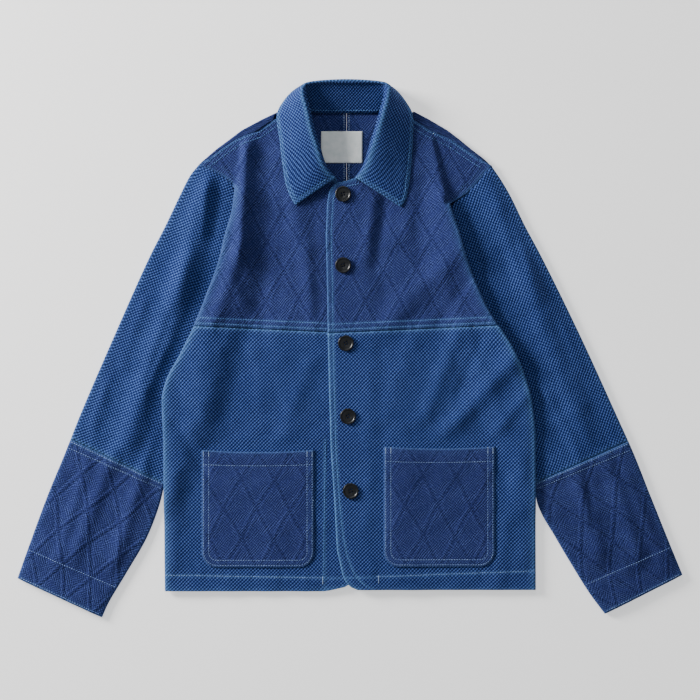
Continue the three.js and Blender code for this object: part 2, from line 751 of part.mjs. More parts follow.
function collar() {
  const surface = collarSurface();
  const rounds = evenly(0, 1, 2 * (collarSections.length - 1));
  const acrossCount = 8;
  const middle = rounds.map((u) => evenly(0, acrossCount - 1, acrossCount - 1).map((v) => surface(u, v)));
  const outer = [];
  const inner = [];
  middle.forEach((line, r) => {
    const before = middle[Math.max(0, r - 1)];
    const after = middle[Math.min(rounds.length - 1, r + 1)];
    const outerLine = [];
    const innerLine = [];
    line.forEach((p, c) => {
      const across = line[Math.min(acrossCount - 1, c + 1)].clone().sub(line[Math.max(0, c - 1)]);
      const round = after[c].clone().sub(before[c]);
      const normal = across.cross(round).normalize();
      outerLine.push(p.clone().addScaledVector(normal, COLLAR_WALL / 2).toArray());
      innerLine.push(p.clone().addScaledVector(normal, -COLLAR_WALL / 2).toArray());
    });
    outer.push(outerLine);
    inner.push(innerLine);
  });
  return wallGeometry(outer, inner);
}

// A bare label lying on the inner back
function neckLabel() {
  const { left, right, bottom, top, thickness } = LABEL;
  const rows = evenly(bottom, top, 4);
  const places = rows.map((y) => evenly(left, right, 5).map((x) => [x, y]));
  const base = CLOTH + SEAM;
  const bow = (x, y) => 0.5 * Math.sin((Math.PI * (x - left)) / (right - left)) * smooth(bottom, top, y);
  const outer = places.map((row) => row.map(([x, y]) => [x, y, base + thickness + bow(x, y)]));
  const inner = places.map((row) => row.map(([x, y]) => [x, y, base + bow(x, y)]));
  return wallGeometry(outer, inner);
}

function solidOf(geometry) {
  geometry.deleteAttribute('normal');
  geometry.deleteAttribute('uv');
  const merged = mergeVertices(geometry, 1e-4);
  return new wasm.Manifold(new wasm.Mesh({
    numProp: 3,
    vertProperties: merged.attributes.position.array,
    triVerts: new Uint32Array(merged.index.array),
  }));
}

function geometryOf(solid) {
  const mesh = solid.getMesh();
  const made = new THREE.BufferGeometry();
  made.setAttribute('position', new THREE.BufferAttribute(mesh.vertProperties, 3));
  made.setIndex(new THREE.BufferAttribute(mesh.triVerts, 1));
  made.computeVertexNormals();
  return made;
}

// A dished button with a raised rim and four holes
function buttonGeometry() {
  const r = BUTTON_RADIUS;
  const h = BUTTON_HEIGHT;
  const profile = [
    [0, 0], [r - 1.5, 0], [r, h - 1], [r - 1.4, h], [r - 3.6, h - BUTTON_DISH],
    [0, h - BUTTON_DISH],
  ].map(([x, y]) => new THREE.Vector2(x, y));
  const disc = new THREE.LatheGeometry(profile, 18);
  disc.rotateX(Math.PI / 2);
  let solid = solidOf(disc);
  for (const turn of [0, 1, 2, 3]) {
    const angle = Math.PI / 4 + (turn * Math.PI) / 2;
    const hole = new THREE.CylinderGeometry(BUTTON_HOLE, BUTTON_HOLE, 3 * h, 6);
    hole.rotateX(Math.PI / 2);
    hole.translate(BUTTON_HOLE_OFFSET * Math.cos(angle), BUTTON_HOLE_OFFSET * Math.sin(angle), 0);
    solid = solid.subtract(solidOf(hole));
  }
  return geometryOf(solid);
}

// The highest point of the left front under a button
function underButton([x, y]) {
  const spots = evenly(0, 11, 11).map((k) => (k * Math.PI) / 6);
  return Math.max(...spots.map((a) => frontHeight('left', x + BUTTON_RADIUS * Math.cos(a),
    y + BUTTON_RADIUS * Math.sin(a)))) + (y > CHEST_Y ? DIAMOND_RISE : 0);
}

const jacket = new THREE.Group();
jacket.name = 'patched_boro_jacket';
jacket.position.y = MIDDLE_Y;

function piece(name, geometry, material) {
  const mesh = new THREE.Mesh(geometry, material);
  mesh.name = name;
  jacket.add(mesh);
  return mesh;
}

for (const side of sides) {
  piece(`back_${side}`, back(side), finishes.darkCloth);
  piece(`yoke_${side}`, yoke(side), finishes.darkCloth);
  piece(`front_${side}`, lowerFront(side), finishes.lightCloth);
  piece(`sleeve_upper_${side}`, sleeveUpper(side), finishes.lightCloth);
  piece(`sleeve_lower_${side}`, sleeveLower(side), finishes.darkCloth);
  piece(`pocket_${side}`, pocket(side), finishes.darkCloth);
}
piece('collar', collar(), finishes.lightCloth);
piece('neck_label', neckLabel(), finishes.label);
BUTTON_PLACES.forEach((place, k) => {
  const button = piece(`button_${k + 1}`, buttonGeometry(), finishes.button);
  button.position.set(place[0], place[1], underButton(place) + SEAM);
});

export default jacket;
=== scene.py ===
"""Looks of a patched work jacket that lies flat, face up, on a pale floor.

Lengths in this file are millimetres until a mesh is made, unless a name says otherwise.
Sides are the wearer's: the right side is at -X, the viewer's left.
"""

import logging
import math
from dataclasses import dataclass, field
from enum import Enum
from typing import Callable, ClassVar, Sequence

import bmesh
import bpy
import numpy as np
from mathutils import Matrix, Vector


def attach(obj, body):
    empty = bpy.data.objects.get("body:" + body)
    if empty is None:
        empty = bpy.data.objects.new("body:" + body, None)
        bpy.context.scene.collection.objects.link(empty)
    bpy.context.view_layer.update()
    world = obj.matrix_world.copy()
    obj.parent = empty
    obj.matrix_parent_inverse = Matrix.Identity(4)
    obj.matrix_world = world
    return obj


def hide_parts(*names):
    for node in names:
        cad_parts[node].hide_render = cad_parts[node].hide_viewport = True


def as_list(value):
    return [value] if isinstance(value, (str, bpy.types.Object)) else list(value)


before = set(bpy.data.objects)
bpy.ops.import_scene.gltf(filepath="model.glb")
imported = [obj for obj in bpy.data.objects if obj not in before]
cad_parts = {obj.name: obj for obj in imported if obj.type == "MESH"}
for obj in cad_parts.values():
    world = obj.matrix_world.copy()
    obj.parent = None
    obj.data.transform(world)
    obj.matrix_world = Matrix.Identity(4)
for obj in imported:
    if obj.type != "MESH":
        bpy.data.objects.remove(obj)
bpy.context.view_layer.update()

LOG = logging.getLogger("jacket")
MM = 0.001
MIDDLE_Y = 2.3
Array = np.ndarray


class Side(Enum):
    """The two sides of the garment, as the wearer has them, with the sign of their X."""

    RIGHT = -1
    LEFT = 1

    @property
    def word(self) -> str:
        """The side's name in the names of pieces."""
        return self.name.lower()


def smooth(low: float, high: float, x: Array) -> Array:
    """Step softly from 0 at low to 1 at high.

    Args:
        low: where the step starts.
        high: where the step ends.
        x: places to step at.

    Returns:
        The step's height at each place.
    """
    t = np.clip((np.asarray(x, float) - low) / (high - low), 0, 1)
    return t * t * (3 - 2 * t)


def lerp(a: Array, b: Array, t: Array) -> Array:
    """Mix a and b by the share t."""
    return a + (b - a) * t


class Curve:
    """A smooth curve through a few points, value against position, flat past its ends."""

    def __init__(self, points: Sequence[tuple[float, float]], rounded: bool = True) -> None:
        """Keep the points and work out their slopes.

        Args:
            points: (position, value) pairs, positions rising.
            rounded: whether the runs bend, or are straight.
        """
        self.x = np.array([p[0] for p in points], float)
        self.y = np.array([p[1] for p in points], float)
        self.rounded = rounded
        steps = np.diff(self.y) / np.diff(self.x)
        before = np.concatenate([steps[:1], steps])
        after = np.concatenate([steps, steps[-1:]])
        product = before * after
        total = np.where(product > 0, before + after, 1)
        self.slopes = np.where(product > 0, 2 * product / total, 0)

    def __call__(self, x: Array) -> Array:
        """Give the curve's value at x."""
        if not self.rounded:
            return np.interp(x, self.x, self.y)
        x = np.clip(np.asarray(x, float), self.x[0], self.x[-1])
        i = np.clip(np.searchsorted(self.x, x, side="right") - 1, 0, len(self.x) - 2)
        h = self.x[i + 1] - self.x[i]
        t = (x - self.x[i]) / h
        s = 1 - t
        held = self.y[i] * (1 + 2 * t) * s * s + self.y[i + 1] * t * t * (3 - 2 * t)
        return held + h * (self.slopes[i] * t * s * s - self.slopes[i + 1] * t * t * s)


@dataclass(frozen=True)
class Fold:
    """A soft ridge, or a trough with a negative height, between two places."""

    start: tuple[float, float]
    end: tuple[float, float]
    width: float
    height: float
    bow: float = 0.0

    def rise(self, x: Array, y: Array) -> Array:
        """Give the fold's height at places of the cloth.

        Args:
            x: places across the garment.
            y: places up the garment.

        Returns:
            The height that the fold adds.
        """
        dx, dy = self.end[0] - self.start[0], self.end[1] - self.start[1]
        length = math.hypot(dx, dy)
        along = ((x - self.start[0]) * dx + (y - self.start[1]) * dy) / length
        across = ((x - self.start[0]) * dy - (y - self.start[1]) * dx) / length
        share = np.clip(along / length, 0, 1)
        across = across - self.bow * 4 * share * (1 - share)
        past = np.maximum(0, np.maximum(-along, along - length))
        return self.height * np.exp(-((across / self.width) ** 2) - (past / (2 * self.width)) ** 2)


def total_rise(folds: Sequence[Fold], x: Array, y: Array) -> Array:
    """Sum the heights of several folds."""
    return sum((fold.rise(x, y) for fold in folds), np.zeros(np.broadcast(x, y).shape))


def slope_of(height: Callable[[Array, Array], Array], x: Array, y: Array) -> tuple[Array, Array]:
    """Give the slopes of a height across and along, by small steps of a millimetre."""
    across = (height(x + 1, y) - height(x - 1, y)) / 2
    along = (height(x, y + 1) - height(x, y - 1)) / 2
    return across, along


def run_along(points: Array) -> Array:
    """Give the running length at each point of a line, counted along the first axis."""
    return np.concatenate([[0], np.cumsum(np.linalg.norm(np.diff(points, axis=0), axis=-1))])


def placed(name: str, data: bpy.types.ID) -> bpy.types.Object:
    """Put a mesh, a light or a camera into the scene as an object at the origin."""
    made = bpy.data.objects.new(name, data)
    bpy.context.scene.collection.objects.link(made)
    return made


# Cloth, seams and layers, and the levels of outer faces above the table
CLOTH = 1.3
LAYER_GAP = 0.5
WALL = 1.6
SEAM = 0.3
FRONT_LEVEL = 7.4
SHOULDER_LEVEL = 7.6
SLEEVE_LEVEL = 7.0
TUCKED_LEVEL = 5.4
LIFT = 6.3
CHEST_Y = 27.0
CHEST_SLOPE = -0.045
SLEEVE_SEAM = 2 / 3
CENTRE_BACK_X = -5.0
FRONT_TURN = 3.8
BACK_TURN = 3.0
OVERLAP_X = 22.0
DIAMOND = (48.0, 86.0)
DIAMOND_RISE = 0.38
POCKET_CORNER = 22.0
POCKET_SAG = 3.0
# How much nearer a place is to the slanting shoulder edge than straight across
SHOULDER_SLANT = 0.62
# Where layers begin to rise over the tucked sleeve and where they are down again, up the
# garment, and how far outward they rise
BACK_LIFT = ((-258, -215), (0, 30), (-40, -6))
FRONT_LIFT = ((-262, -217), (215, 268), (-48, -8))
# Shares of the armhole seam, from the shoulder's tip, that its points stand at
ARMHOLE_SHARES = (0, 0.07, 0.16, 0.26, 0.38, 0.5, 0.62, 0.74, 0.86, 1)


@dataclass(frozen=True)
class PocketCut:
    """Where a patch pocket lies."""

    left: float
    right: float
    top: float
    bottom: float

    @property
    def middle(self) -> float:
        """The pocket's middle, across."""
        return (self.left + self.right) / 2

    @property
    def half(self) -> float:
        """Half of the pocket's width."""
        return (self.right - self.left) / 2


@dataclass(frozen=True)
class HalfCut:
    """The outlines and folds of one half of the garment, as X against Y unless named so."""

    body_edge: tuple
    sleeve_outer: tuple
    sleeve_inner: tuple
    outer_run: tuple
    inner_run: tuple
    armhole: tuple
    tuck: tuple
    yoke_start: tuple
    meets: float
    shoulder: tuple
    yoke_middle: tuple
    front_middle: tuple
    hem: float
    back_start: tuple
    back_shoulder: tuple
    pocket: PocketCut
    folds: tuple
    creases: tuple
    sleeve_folds: tuple
    sleeve_creases: tuple
    calm: tuple
    seam_middle: float


RIGHT_CUT = HalfCut(
    body_edge=((-352, -269), (-132, -271), (-77, -273), (-51, -268), (-3, -243), (22, -229),
               (74, -210), (129, -190), (160, -183), (202, -171), (232, -167), (266, -161),
               (302, -158)),
    sleeve_outer=((-334, -483), (-300, -471), (-213, -439), (-155, -415), (-97, -392),
                  (19, -342), (135, -290), (178, -268), (222, -247), (251, -232), (266, -220)),
    sleeve_inner=((-391, -360), (-373, -352), (-329, -326), (-271, -293), (-225, -276),
                  (-197, -269), (-120, -240), (-60, -215), (0, -196)),
    outer_run=((0, 266), (SLEEVE_SEAM, -132), (1, -334)),
    inner_run=((0, 0), (SLEEVE_SEAM, -197), (1, -391)),
    armhole=((-220, 266), (-207, 261), (-184, 249), (-167, 232), (-158, 193), (-157, 158),
             (-161, 120), (-171, 82), (-183, 44), (-196, 0)),
    tuck=((-262, -290), (-197, -269), (-120, -240), (-60, -215), (0, -196), (62, -178),
          (125, -159), (193, -156), (240, -160)),
    yoke_start=(-100, 226, 228, ()),
    meets=232,
    shoulder=((270, -214), (276, -204), (289, -187), (303, -166), (316, -133), (332, -110)),
    yoke_middle=((0, OVERLAP_X), (229, OVERLAP_X), (235, 3), (242, -20), (255, -41), (276, -67),
                 (302, -81), (325, -87), (332, -86)),
    front_middle=((-354, -45), (-352, -30), (-347, -8), (-340, 4), (-329, 13),
                  (-315, OVERLAP_X), (40, OVERLAP_X)),
    hem=-353,
    back_start=((-30, -252), (-8, -204)),
    back_shoulder=((270, -216), (276, -209), (289, -194), (303, -175), (316, -158),
                   (332, -128), (343, -105)),
    pocket=PocketCut(-215, -52, -148, -318),
    folds=(
        Fold((-150, 285), (-160, 140), 10, 8),
        Fold((-160, 140), (-192, 50), 12, 4.5),
        Fold((-124, 285), (-129, 60), 17, -3.4),
        Fold((-78, 205), (-50, 60), 14, 3.6),
        Fold((-212, 10), (-212, -100), 24, 5),
    ),
    creases=(
        Fold((-165, 0), (-186, -125), 16, -1.0),
        Fold((-262, -96), (-214, -172), 9, -2.0),
        Fold((-266, -60), (-262, -100), 10, 2.0),
        Fold((-254, -190), (-258, -310), 13, 2.6),
        Fold((-100, 15), (-82, -110), 22, 1.8),
        Fold((-140, 20), (-128, -70), 9, 1.0),
        Fold((-98, 190), (-104, 60), 9, -1.2),
        Fold((-60, -30), (-96, -118), 12, 1.4),
        Fold((-180, 120), (-140, 45), 10, 1.6, 4),
    ),
    sleeve_folds=(
        Fold((-214, 215), (-243, 100), 16, 7),
        Fold((-243, 100), (-318, -120), 18, 7.5),
        Fold((-302, -186), (-338, -300), 11, 4.2),
        Fold((-345, -160), (-395, -290), 12, 4),
    ),
    sleeve_creases=(
        Fold((-190, 236), (-197, 165), 8, -2.6),
        Fold((-207, 240), (-213, 172), 6, 2.2),
        Fold((-384, -177), (-424, -307), 9, 2.2),
        Fold((-262, 40), (-290, -40), 7, -1.8),
        Fold((-355, -60), (-372, -120), 9, 1.8),
        Fold((-300, 60), (-330, -20), 8, 1.2),
        Fold((-268, -100), (-296, -160), 8, 1.6),
    ),
    calm=(-62, -42),
    seam_middle=-120,
)

LEFT_CUT = HalfCut(
    body_edge=((-352, 270), (-132, 269), (-81, 264), (-42, 254), (-3, 236), (35, 210),
               (68, 194), (132, 168), (177, 155), (210, 144), (248, 135), (300, 122)),
    sleeve_outer=((-329, 483), (-300, 471), (-213, 436), (-155, 413), (-97, 387), (19, 334),
                  (135, 277), (178, 254), (223, 232), (245, 219), (264, 206)),
    sleeve_inner=((-386, 370), (-358, 349), (-300, 313), (-271, 296), (-242, 279),
                  (-225, 272), (-197, 267), (-120, 240), (-60, 215), (0, 193)),
    outer_run=((0, 264), (SLEEVE_SEAM, -135), (1, -329)),
    inner_run=((0, 0), (SLEEVE_SEAM, -197), (1, -386)),
    armhole=((206, 264), (197, 255), (183, 237), (166, 222), (143, 198), (143, 162),
             (149, 120), (161.5, 80), (176.5, 42), (193, 0)),
    tuck=((-262, 290), (-197, 267), (-120, 240), (-60, 215), (0, 193), (62, 168),
          (128, 145), (200, 141), (240, 160)),
    yoke_start=(-100, 206, 212, ((209, 144.5),)),
    meets=209,
    shoulder=((270, 196.5), (276, 186), (289, 167), (303, 146), (316, 116), (332, 92)),
    yoke_middle=((0, -32), (77, -33), (165, -35), (210, -33), (229, -30), (238, -22),
                 (245, 4), (255, 26), (276, 52), (302, 67), (325, 73), (332, 71)),
    front_middle=((-354, 20), (-352, 14), (-347, 2), (-340, -6), (-329, -11), (-293, -19),
                  (-220, -23), (-148, -28), (-75, -30), (26, -32.5)),
    hem=-351,
    back_start=((-30, 248), (-8, 202)),
    back_shoulder=((269, 201), (276, 193), (289, 176), (303, 159), (316, 142), (332, 115),
                   (343, 94)),
    pocket=PocketCut(49, 210, -143, -317),
    folds=(
        Fold((124, 280), (144, 165), 22, 5.5),
        Fold((160, 140), (62, 46), 18, 4.6),
        Fold((92, 250), (84, 180), 14, 2.4),
        Fold((152, 12), (116, -82), 13, 3.6),
        Fold((226, -28), (124, -142), 14, 5),
        Fold((258, -64), (212, -122), 10, 3),
        Fold((190, 60), (226, -10), 16, 3),
        Fold((152, 160), (232, 0), 17, 4.2),
        Fold((147, 200), (176, 100), 12, 2.2),
        Fold((236, -3), (260, -100), 15, 3.2),
    ),
    creases=(
        Fold((51, 205), (38, 125), 8, -2.0),
        Fold((34, 208), (22, 135), 8, 1.8),
        Fold((70, -120), (76, -320), 46, 3.0),
        Fold((180, 110), (130, 40), 8, -1.6),
        Fold((90, 10), (60, -70), 14, 1.8),
        Fold((188, 8), (160, -60), 8, -1.5),
        Fold((250, -150), (252, -300), 14, 1.6),
        Fold((240, -200), (215, -330), 12, 1.6),
    ),
    sleeve_folds=(
        Fold((215, 215), (262, 90), 17, 5),
        Fold((262, 90), (338, -120), 19, 6),
        Fold((330, -190), (360, -290), 12, 4),
        Fold((375, -170), (415, -290), 12, 3.4),
    ),
    sleeve_creases=(
        Fold((166, 200), (184, 120), 11, -1.5),
        Fold((184, 120), (226, 20), 11, -1.2),
        Fold((228, 190), (250, 120), 7, -1.6),
        Fold((300, 60), (330, -20), 9, 1.4),
        Fold((290, -75), (330, -150), 9, 2.4),
        Fold((400, -180), (448, -300), 8, 1.6),
        Fold((345, -200), (352, -260), 6, -1.6),
    ),
    calm=(16, 44),
    seam_middle=90,
)


class HalfForm:
    """One half of the garment: its outlines and the heights of its layers."""

    def __init__(self, side: Side, cut: HalfCut) -> None:
        """Make the outlines.

        Args:
            side: which half it is.
            cut: its outlines and folds.
        """
        self.side = side
        self.sign = side.value
        self.cut = cut
        self.body_edge = Curve(cut.body_edge)
        self.sleeve_outer = Curve(cut.sleeve_outer)
        self.sleeve_inner = Curve(cut.sleeve_inner)
        self.outer_run = Curve(cut.outer_run)
        self.inner_run = Curve(cut.inner_run)
        self.armhole_x = Curve([(t, p[0]) for t, p in zip(ARMHOLE_SHARES, cut.armhole)])
        self.armhole_y = Curve([(t, p[1]) for t, p in zip(ARMHOLE_SHARES, cut.armhole)])
        self.tuck = Curve(cut.tuck)
        low, high, above, extra = cut.yoke_start
        edge_rows = [(y, float(self.body_edge(y))) for y in np.linspace(low, high, 60)]
        seam_rows = [p for p in self.armhole_line(-0.5) if p[0] > above]
        self.yoke_outer = Curve([*edge_rows, *extra, *seam_rows, *cut.shoulder], rounded=False)
        self.yoke_middle = Curve(cut.yoke_middle, rounded=False)
        self.front_middle = Curve(cut.front_middle, rounded=False)
        side_rows = [(y, float(self.body_edge(y))) for y in np.linspace(-349, -60, 40)]
        back_rows = [*side_rows, *cut.back_start, *self.armhole_line(0.5), *cut.back_shoulder]
        self.back_outer = Curve(back_rows, rounded=False)

    def armhole_line(self, apart: float) -> list[tuple[float, float]]:
        """Give the armhole seam from armpit to shoulder tip, moved towards the body."""
        shares = np.array([1, 0.95, *ARMHOLE_SHARES[-2::-1]])
        x = self.armhole_x(shares) - self.sign * apart
        y = self.armhole_y(shares)
        return list(zip(y.tolist(), x.tolist()))

    def inside_body(self, x: Array, y: Array) -> Array:
        """How far a place lies inside the edge of the body, across the garment."""
        return self.sign * (self.body_edge(y) - x)

    def over_sleeve(self, x: Array, y: Array) -> Array:
        """How far a place lies over the tucked sleeve, outward from where it ends."""
        return self.sign * (x - self.tuck(y))

    def lift(self, x: Array, y: Array, reach: tuple) -> Array:
        """How far the tucked sleeve lifts a layer: reach says where it begins and ends."""
        foot, head, side = reach
        along = smooth(*foot, y) * (1 - smooth(*head, y))
        return LIFT * along * smooth(*side, self.over_sleeve(x, y))

    def back_height(self, x: Array, y: Array) -> Array:
        """Underside of the back, which climbs over the sleeve tucked under it."""
        return self.lift(x, y, BACK_LIFT)

    def calm(self, x: Array, y: Array) -> Array:
        """How freely the front may fold: not beside the buttons or under the pocket."""
        low, high = self.cut.calm
        placket = 1 - smooth(low, high, x) if self.side is Side.RIGHT else smooth(low, high, x)
        top = self.cut.pocket.top
        return placket * smooth(top - 4, top + 34, y)

    def overlap_rise(self, x: Array) -> Array:
        """The wearer's left front lies over the right one, so it stands higher there."""
        if self.side is Side.RIGHT:
            return np.zeros(np.shape(x))
        return (WALL + LAYER_GAP + 0.1) * (1 - smooth(26, 50, x))

    def front_height(self, x: Array, y: Array) -> Array:
        """Outer face of a front over the back and the tucked sleeve."""
        lift = self.lift(x, y, FRONT_LIFT)
        folded = total_rise(self.cut.folds, x, y) * self.calm(x, y)
        creased = total_rise(self.cut.creases, x, y)
        body = FRONT_LEVEL + lift + self.overlap_rise(x) + folded + creased
        strip = smooth(-4, 4, self.inside_body(x, y))
        return np.where(y > 200, lerp(SHOULDER_LEVEL, body, strip), body)

    def sleeve_place(self, s: Array, t: Array) -> tuple[Array, Array]:
        """Give the plan place of a sleeve.

        Args:
            s: share of its length, 0 at the armhole.
            t: share of its width, 0 at the outer edge.

        Returns:
            The place across and up the garment.
        """
        outer_y, inner_y = self.outer_run(s), self.inner_run(s)
        start = float(self.sleeve_outer(self.outer_run(0))), float(self.outer_run(0))
        end = float(self.sleeve_inner(self.inner_run(0))), float(self.inner_run(0))
        stays = np.maximum(0, 1 - s / 0.6) ** 3
        x = lerp(self.sleeve_outer(outer_y), self.sleeve_inner(inner_y), t)
        y = lerp(outer_y, inner_y, t)
        x = x + stays * (self.armhole_x(t) - lerp(start[0], end[0], t))
        y = y + stays * (self.armhole_y(t) - lerp(start[1], end[1], t))
        return x, y

    def sleeve_top(self, s: Array, t: Array) -> Array:
        """Height of the upper face of a sleeve."""
        x, y = self.sleeve_place(s, t)
        inner = lerp(TUCKED_LEVEL, SLEEVE_LEVEL, smooth(0.6, 0.9, s))
        flat = lerp(inner, SHOULDER_LEVEL, smooth(215, 245, y))
        level = lerp(SLEEVE_LEVEL, flat, smooth(0, 0.2, t))
        outside = -self.inside_body(x, y)
        free = np.maximum(smooth(1, 26, outside), 1 - smooth(-262, -225, y))
        free = np.maximum(free, smooth(228, 240, y))
        swell = 1.2 + total_rise(self.cut.sleeve_folds, x, y)
        swell = swell + total_rise(self.cut.sleeve_creases, x, y)
        return level + swell * free * smooth(0, 0.14, t) * smooth(0, 0.14, 1 - t)

    def seam_lean(self, x: Array) -> Array:
        """How far the chest seam leans from level."""
        return -self.sign * CHEST_SLOPE * (x - self.cut.seam_middle)

    def seam_tilt(self, x: Array, y: Array) -> Array:
        """How far the chest seam and the rows near it lean from level."""
        return self.seam_lean(x) * (1 - smooth(0, 45, np.abs(y - CHEST_Y)))

    def above_chest(self, x: Array, y: Array) -> Array:
        """How far a place lies above the chest seam."""
        return y - CHEST_Y - self.seam_lean(x)


# How the woven figure strays: amount, pitch, inner amount and inner pitch, across and up
STRAY_ACROSS = (1.6, 19.0, 1.2, 41.0)
STRAY_UP = (2.6, 23.0, 0.9, 37.0)


def figure_place(u: Array, v: Array) -> tuple[Array, Array]:
    """Let the woven figure stray from its even lattice, as in cloth that has shrunk."""
    amount, pitch, inner, inner_pitch = STRAY_ACROSS
    across = u + amount * np.sin(v / pitch + inner * np.sin(u / inner_pitch))
    amount, pitch, inner, inner_pitch = STRAY_UP
    return across, v + amount * np.sin(u / pitch + inner * np.sin(v / inner_pitch))


def diamond(u: Array, v: Array) -> Array:
    """Share of the diamond line's rise at a place of the cloth: 1 on a line, 0 off it."""
    u, v = figure_place(u, v)
    across, up = 2 * u / DIAMOND[0], 2 * v / DIAMOND[1]

    def from_line(w: Array) -> Array:
        """How far a place lies from the nearest line of one slant."""
        return np.abs(w - 2 * np.round(w / 2))

    near = np.minimum(from_line(across + up), from_line(across - up))
    return np.maximum(0, 1 - near / 0.15) ** 1.3


@dataclass
class Wall:
    """A thin wall of cloth between two matching grids of points, in millimetres."""

    outer: Array
    inner: Array
    uv: Array
    closed: bool = False
    facing_up: bool = True
    wear: Array | None = None

    def make(self, name: str) -> bpy.types.Object:
        """Turn the wall into a closed mesh.

        Args:
            name: the object's name.

        Returns:
            The new object, with a UV map in millimetres along the cloth.
        """
        rows, columns = self.outer.shape[:2]
        points = np.concatenate([self.outer.reshape(-1, 3), self.inner.reshape(-1, 3)])
        points = points + np.array([0, MIDDLE_Y, 0])
        index = np.arange(rows * columns).reshape(rows, columns)
        last = columns if self.closed else columns - 1
        near = index[:, np.arange(last)]
        far = index[:, (np.arange(last) + 1) % columns]
        under = rows * columns
        quads = [
            np.stack([near[:-1], far[:-1], far[1:], near[1:]], -1).reshape(-1, 4),
            np.stack([near[:-1], near[1:], far[1:], far[:-1]], -1).reshape(-1, 4) + under,
        ]
        for row, turned in ((0, False), (rows - 1, True)):
            a, b = near[row], far[row]
            quad = np.stack([a, a + under, b + under, b], -1)
            quads.append(quad[:, ::-1] if turned else quad)
        if not self.closed:
            for column, turned in ((0, True), (columns - 1, False)):
                a, b = index[:-1, column], index[1:, column]
                quad = np.stack([a, a + under, b + under, b], -1)
                quads.append(quad[:, ::-1] if turned else quad)
        faces = np.concatenate(quads)
        if not self.facing_up:
            faces = faces[:, ::-1]
        uv = np.concatenate([self.uv.reshape(-1, 2)] * 2)
        wear = np.zeros(self.outer.shape[:2]) if self.wear is None else self.wear
        wear = np.concatenate([np.clip(wear, 0, 1).ravel()] * 2)
        return mesh_of(name, points * MM, faces, uv, wear)


def mesh_of(
    name: str, points: Array, faces: Array, uv: Array, wear: Array
) -> bpy.types.Object:
    """Make a smooth mesh object from arrays.

    Args:
        name: the object's name.
        points: its points, in metres.
        faces: its faces, all with the same number of corners.
        uv: a place in the cloth for every point.
        wear: how worn the cloth is at every point, 0 to 1.

    Returns:
        The new object.
    """
    mesh = bpy.data.meshes.new(name)
    mesh.from_pydata(points.tolist(), [], faces.tolist())
    layer = mesh.uv_layers.new(name="cloth")
    corners = np.empty(len(mesh.loops), np.int32)
    mesh.loops.foreach_get("vertex_index", corners)
    layer.data.foreach_set("uv", uv[corners].astype(np.float32).ravel())
    worn = mesh.attributes.new("wear", "FLOAT", "POINT")
    worn.data.foreach_set("value", wear.astype(np.float32))
    bm = bmesh.new()
    bm.from_mesh(mesh)
    bmesh.ops.remove_doubles(bm, verts=bm.verts, dist=2e-6)
    bmesh.ops.dissolve_degenerate(bm, dist=1e-6, edges=bm.edges)
    bm.to_mesh(mesh)
    bm.free()
    mesh.polygons.foreach_set("use_smooth", np.ones(len(mesh.polygons), bool))
    mesh.update()
    return placed(name, mesh)


def normals_of(grid: Array) -> Array:
    """Give unit normals of a grid of points, row direction against column direction."""
    across = np.gradient(grid, axis=1)
    along = np.gradient(grid, axis=0)
    normal = np.cross(across, along)
    length = np.linalg.norm(normal, axis=-1, keepdims=True)
    return normal / np.maximum(length, 1e-9)


@dataclass(frozen=True)
class Finish:
    """A material and the slot that it belongs to."""

    slot: str
    material: bpy.types.Material


@dataclass(frozen=True)
class Sheet:
    """What is known of a sheet of cloth: the size it is cut to and what it lies on."""

    flat: tuple[float, float]
    rests_on: tuple[str, ...]
    area: float | None = None


@dataclass
class Piece:
    """A piece of the visual model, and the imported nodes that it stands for."""

    obj: bpy.types.Object
    finish: Finish
    nodes: tuple[str, ...] = ()
    sheet: Sheet | None = None

    def declare(self) -> None:
        """Give the piece its material and its body, and hide the imported nodes that it stands for."""
        self.obj.data.materials.clear()
        self.obj.data.materials.append(self.finish.material)
        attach(self.obj, "root")
        if self.nodes:
            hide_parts(*self.nodes)
        if self.sheet:
            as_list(self.sheet.rests_on)


@dataclass(frozen=True)
class PanelWear:
    """How worn a panel is along its edges, 0 to 1."""

    outer: float
    middle: float
    low: float
    high: float
    REACH: ClassVar[tuple[float, ...]] = (3.5, 2.2, 2.2, 2.0)

    def at(self, edges: tuple[Array, Array, Array, Array]) -> Array:
        """Give the wear.

        Args:
            edges: distances from the outer, middle, low and high edges.

        Returns:
            The wear at every place.
        """
        shares = (self.outer, self.middle, self.low, self.high)
        return sum(share * np.exp(-edge / reach)
                   for share, edge, reach in zip(shares, edges, self.REACH))


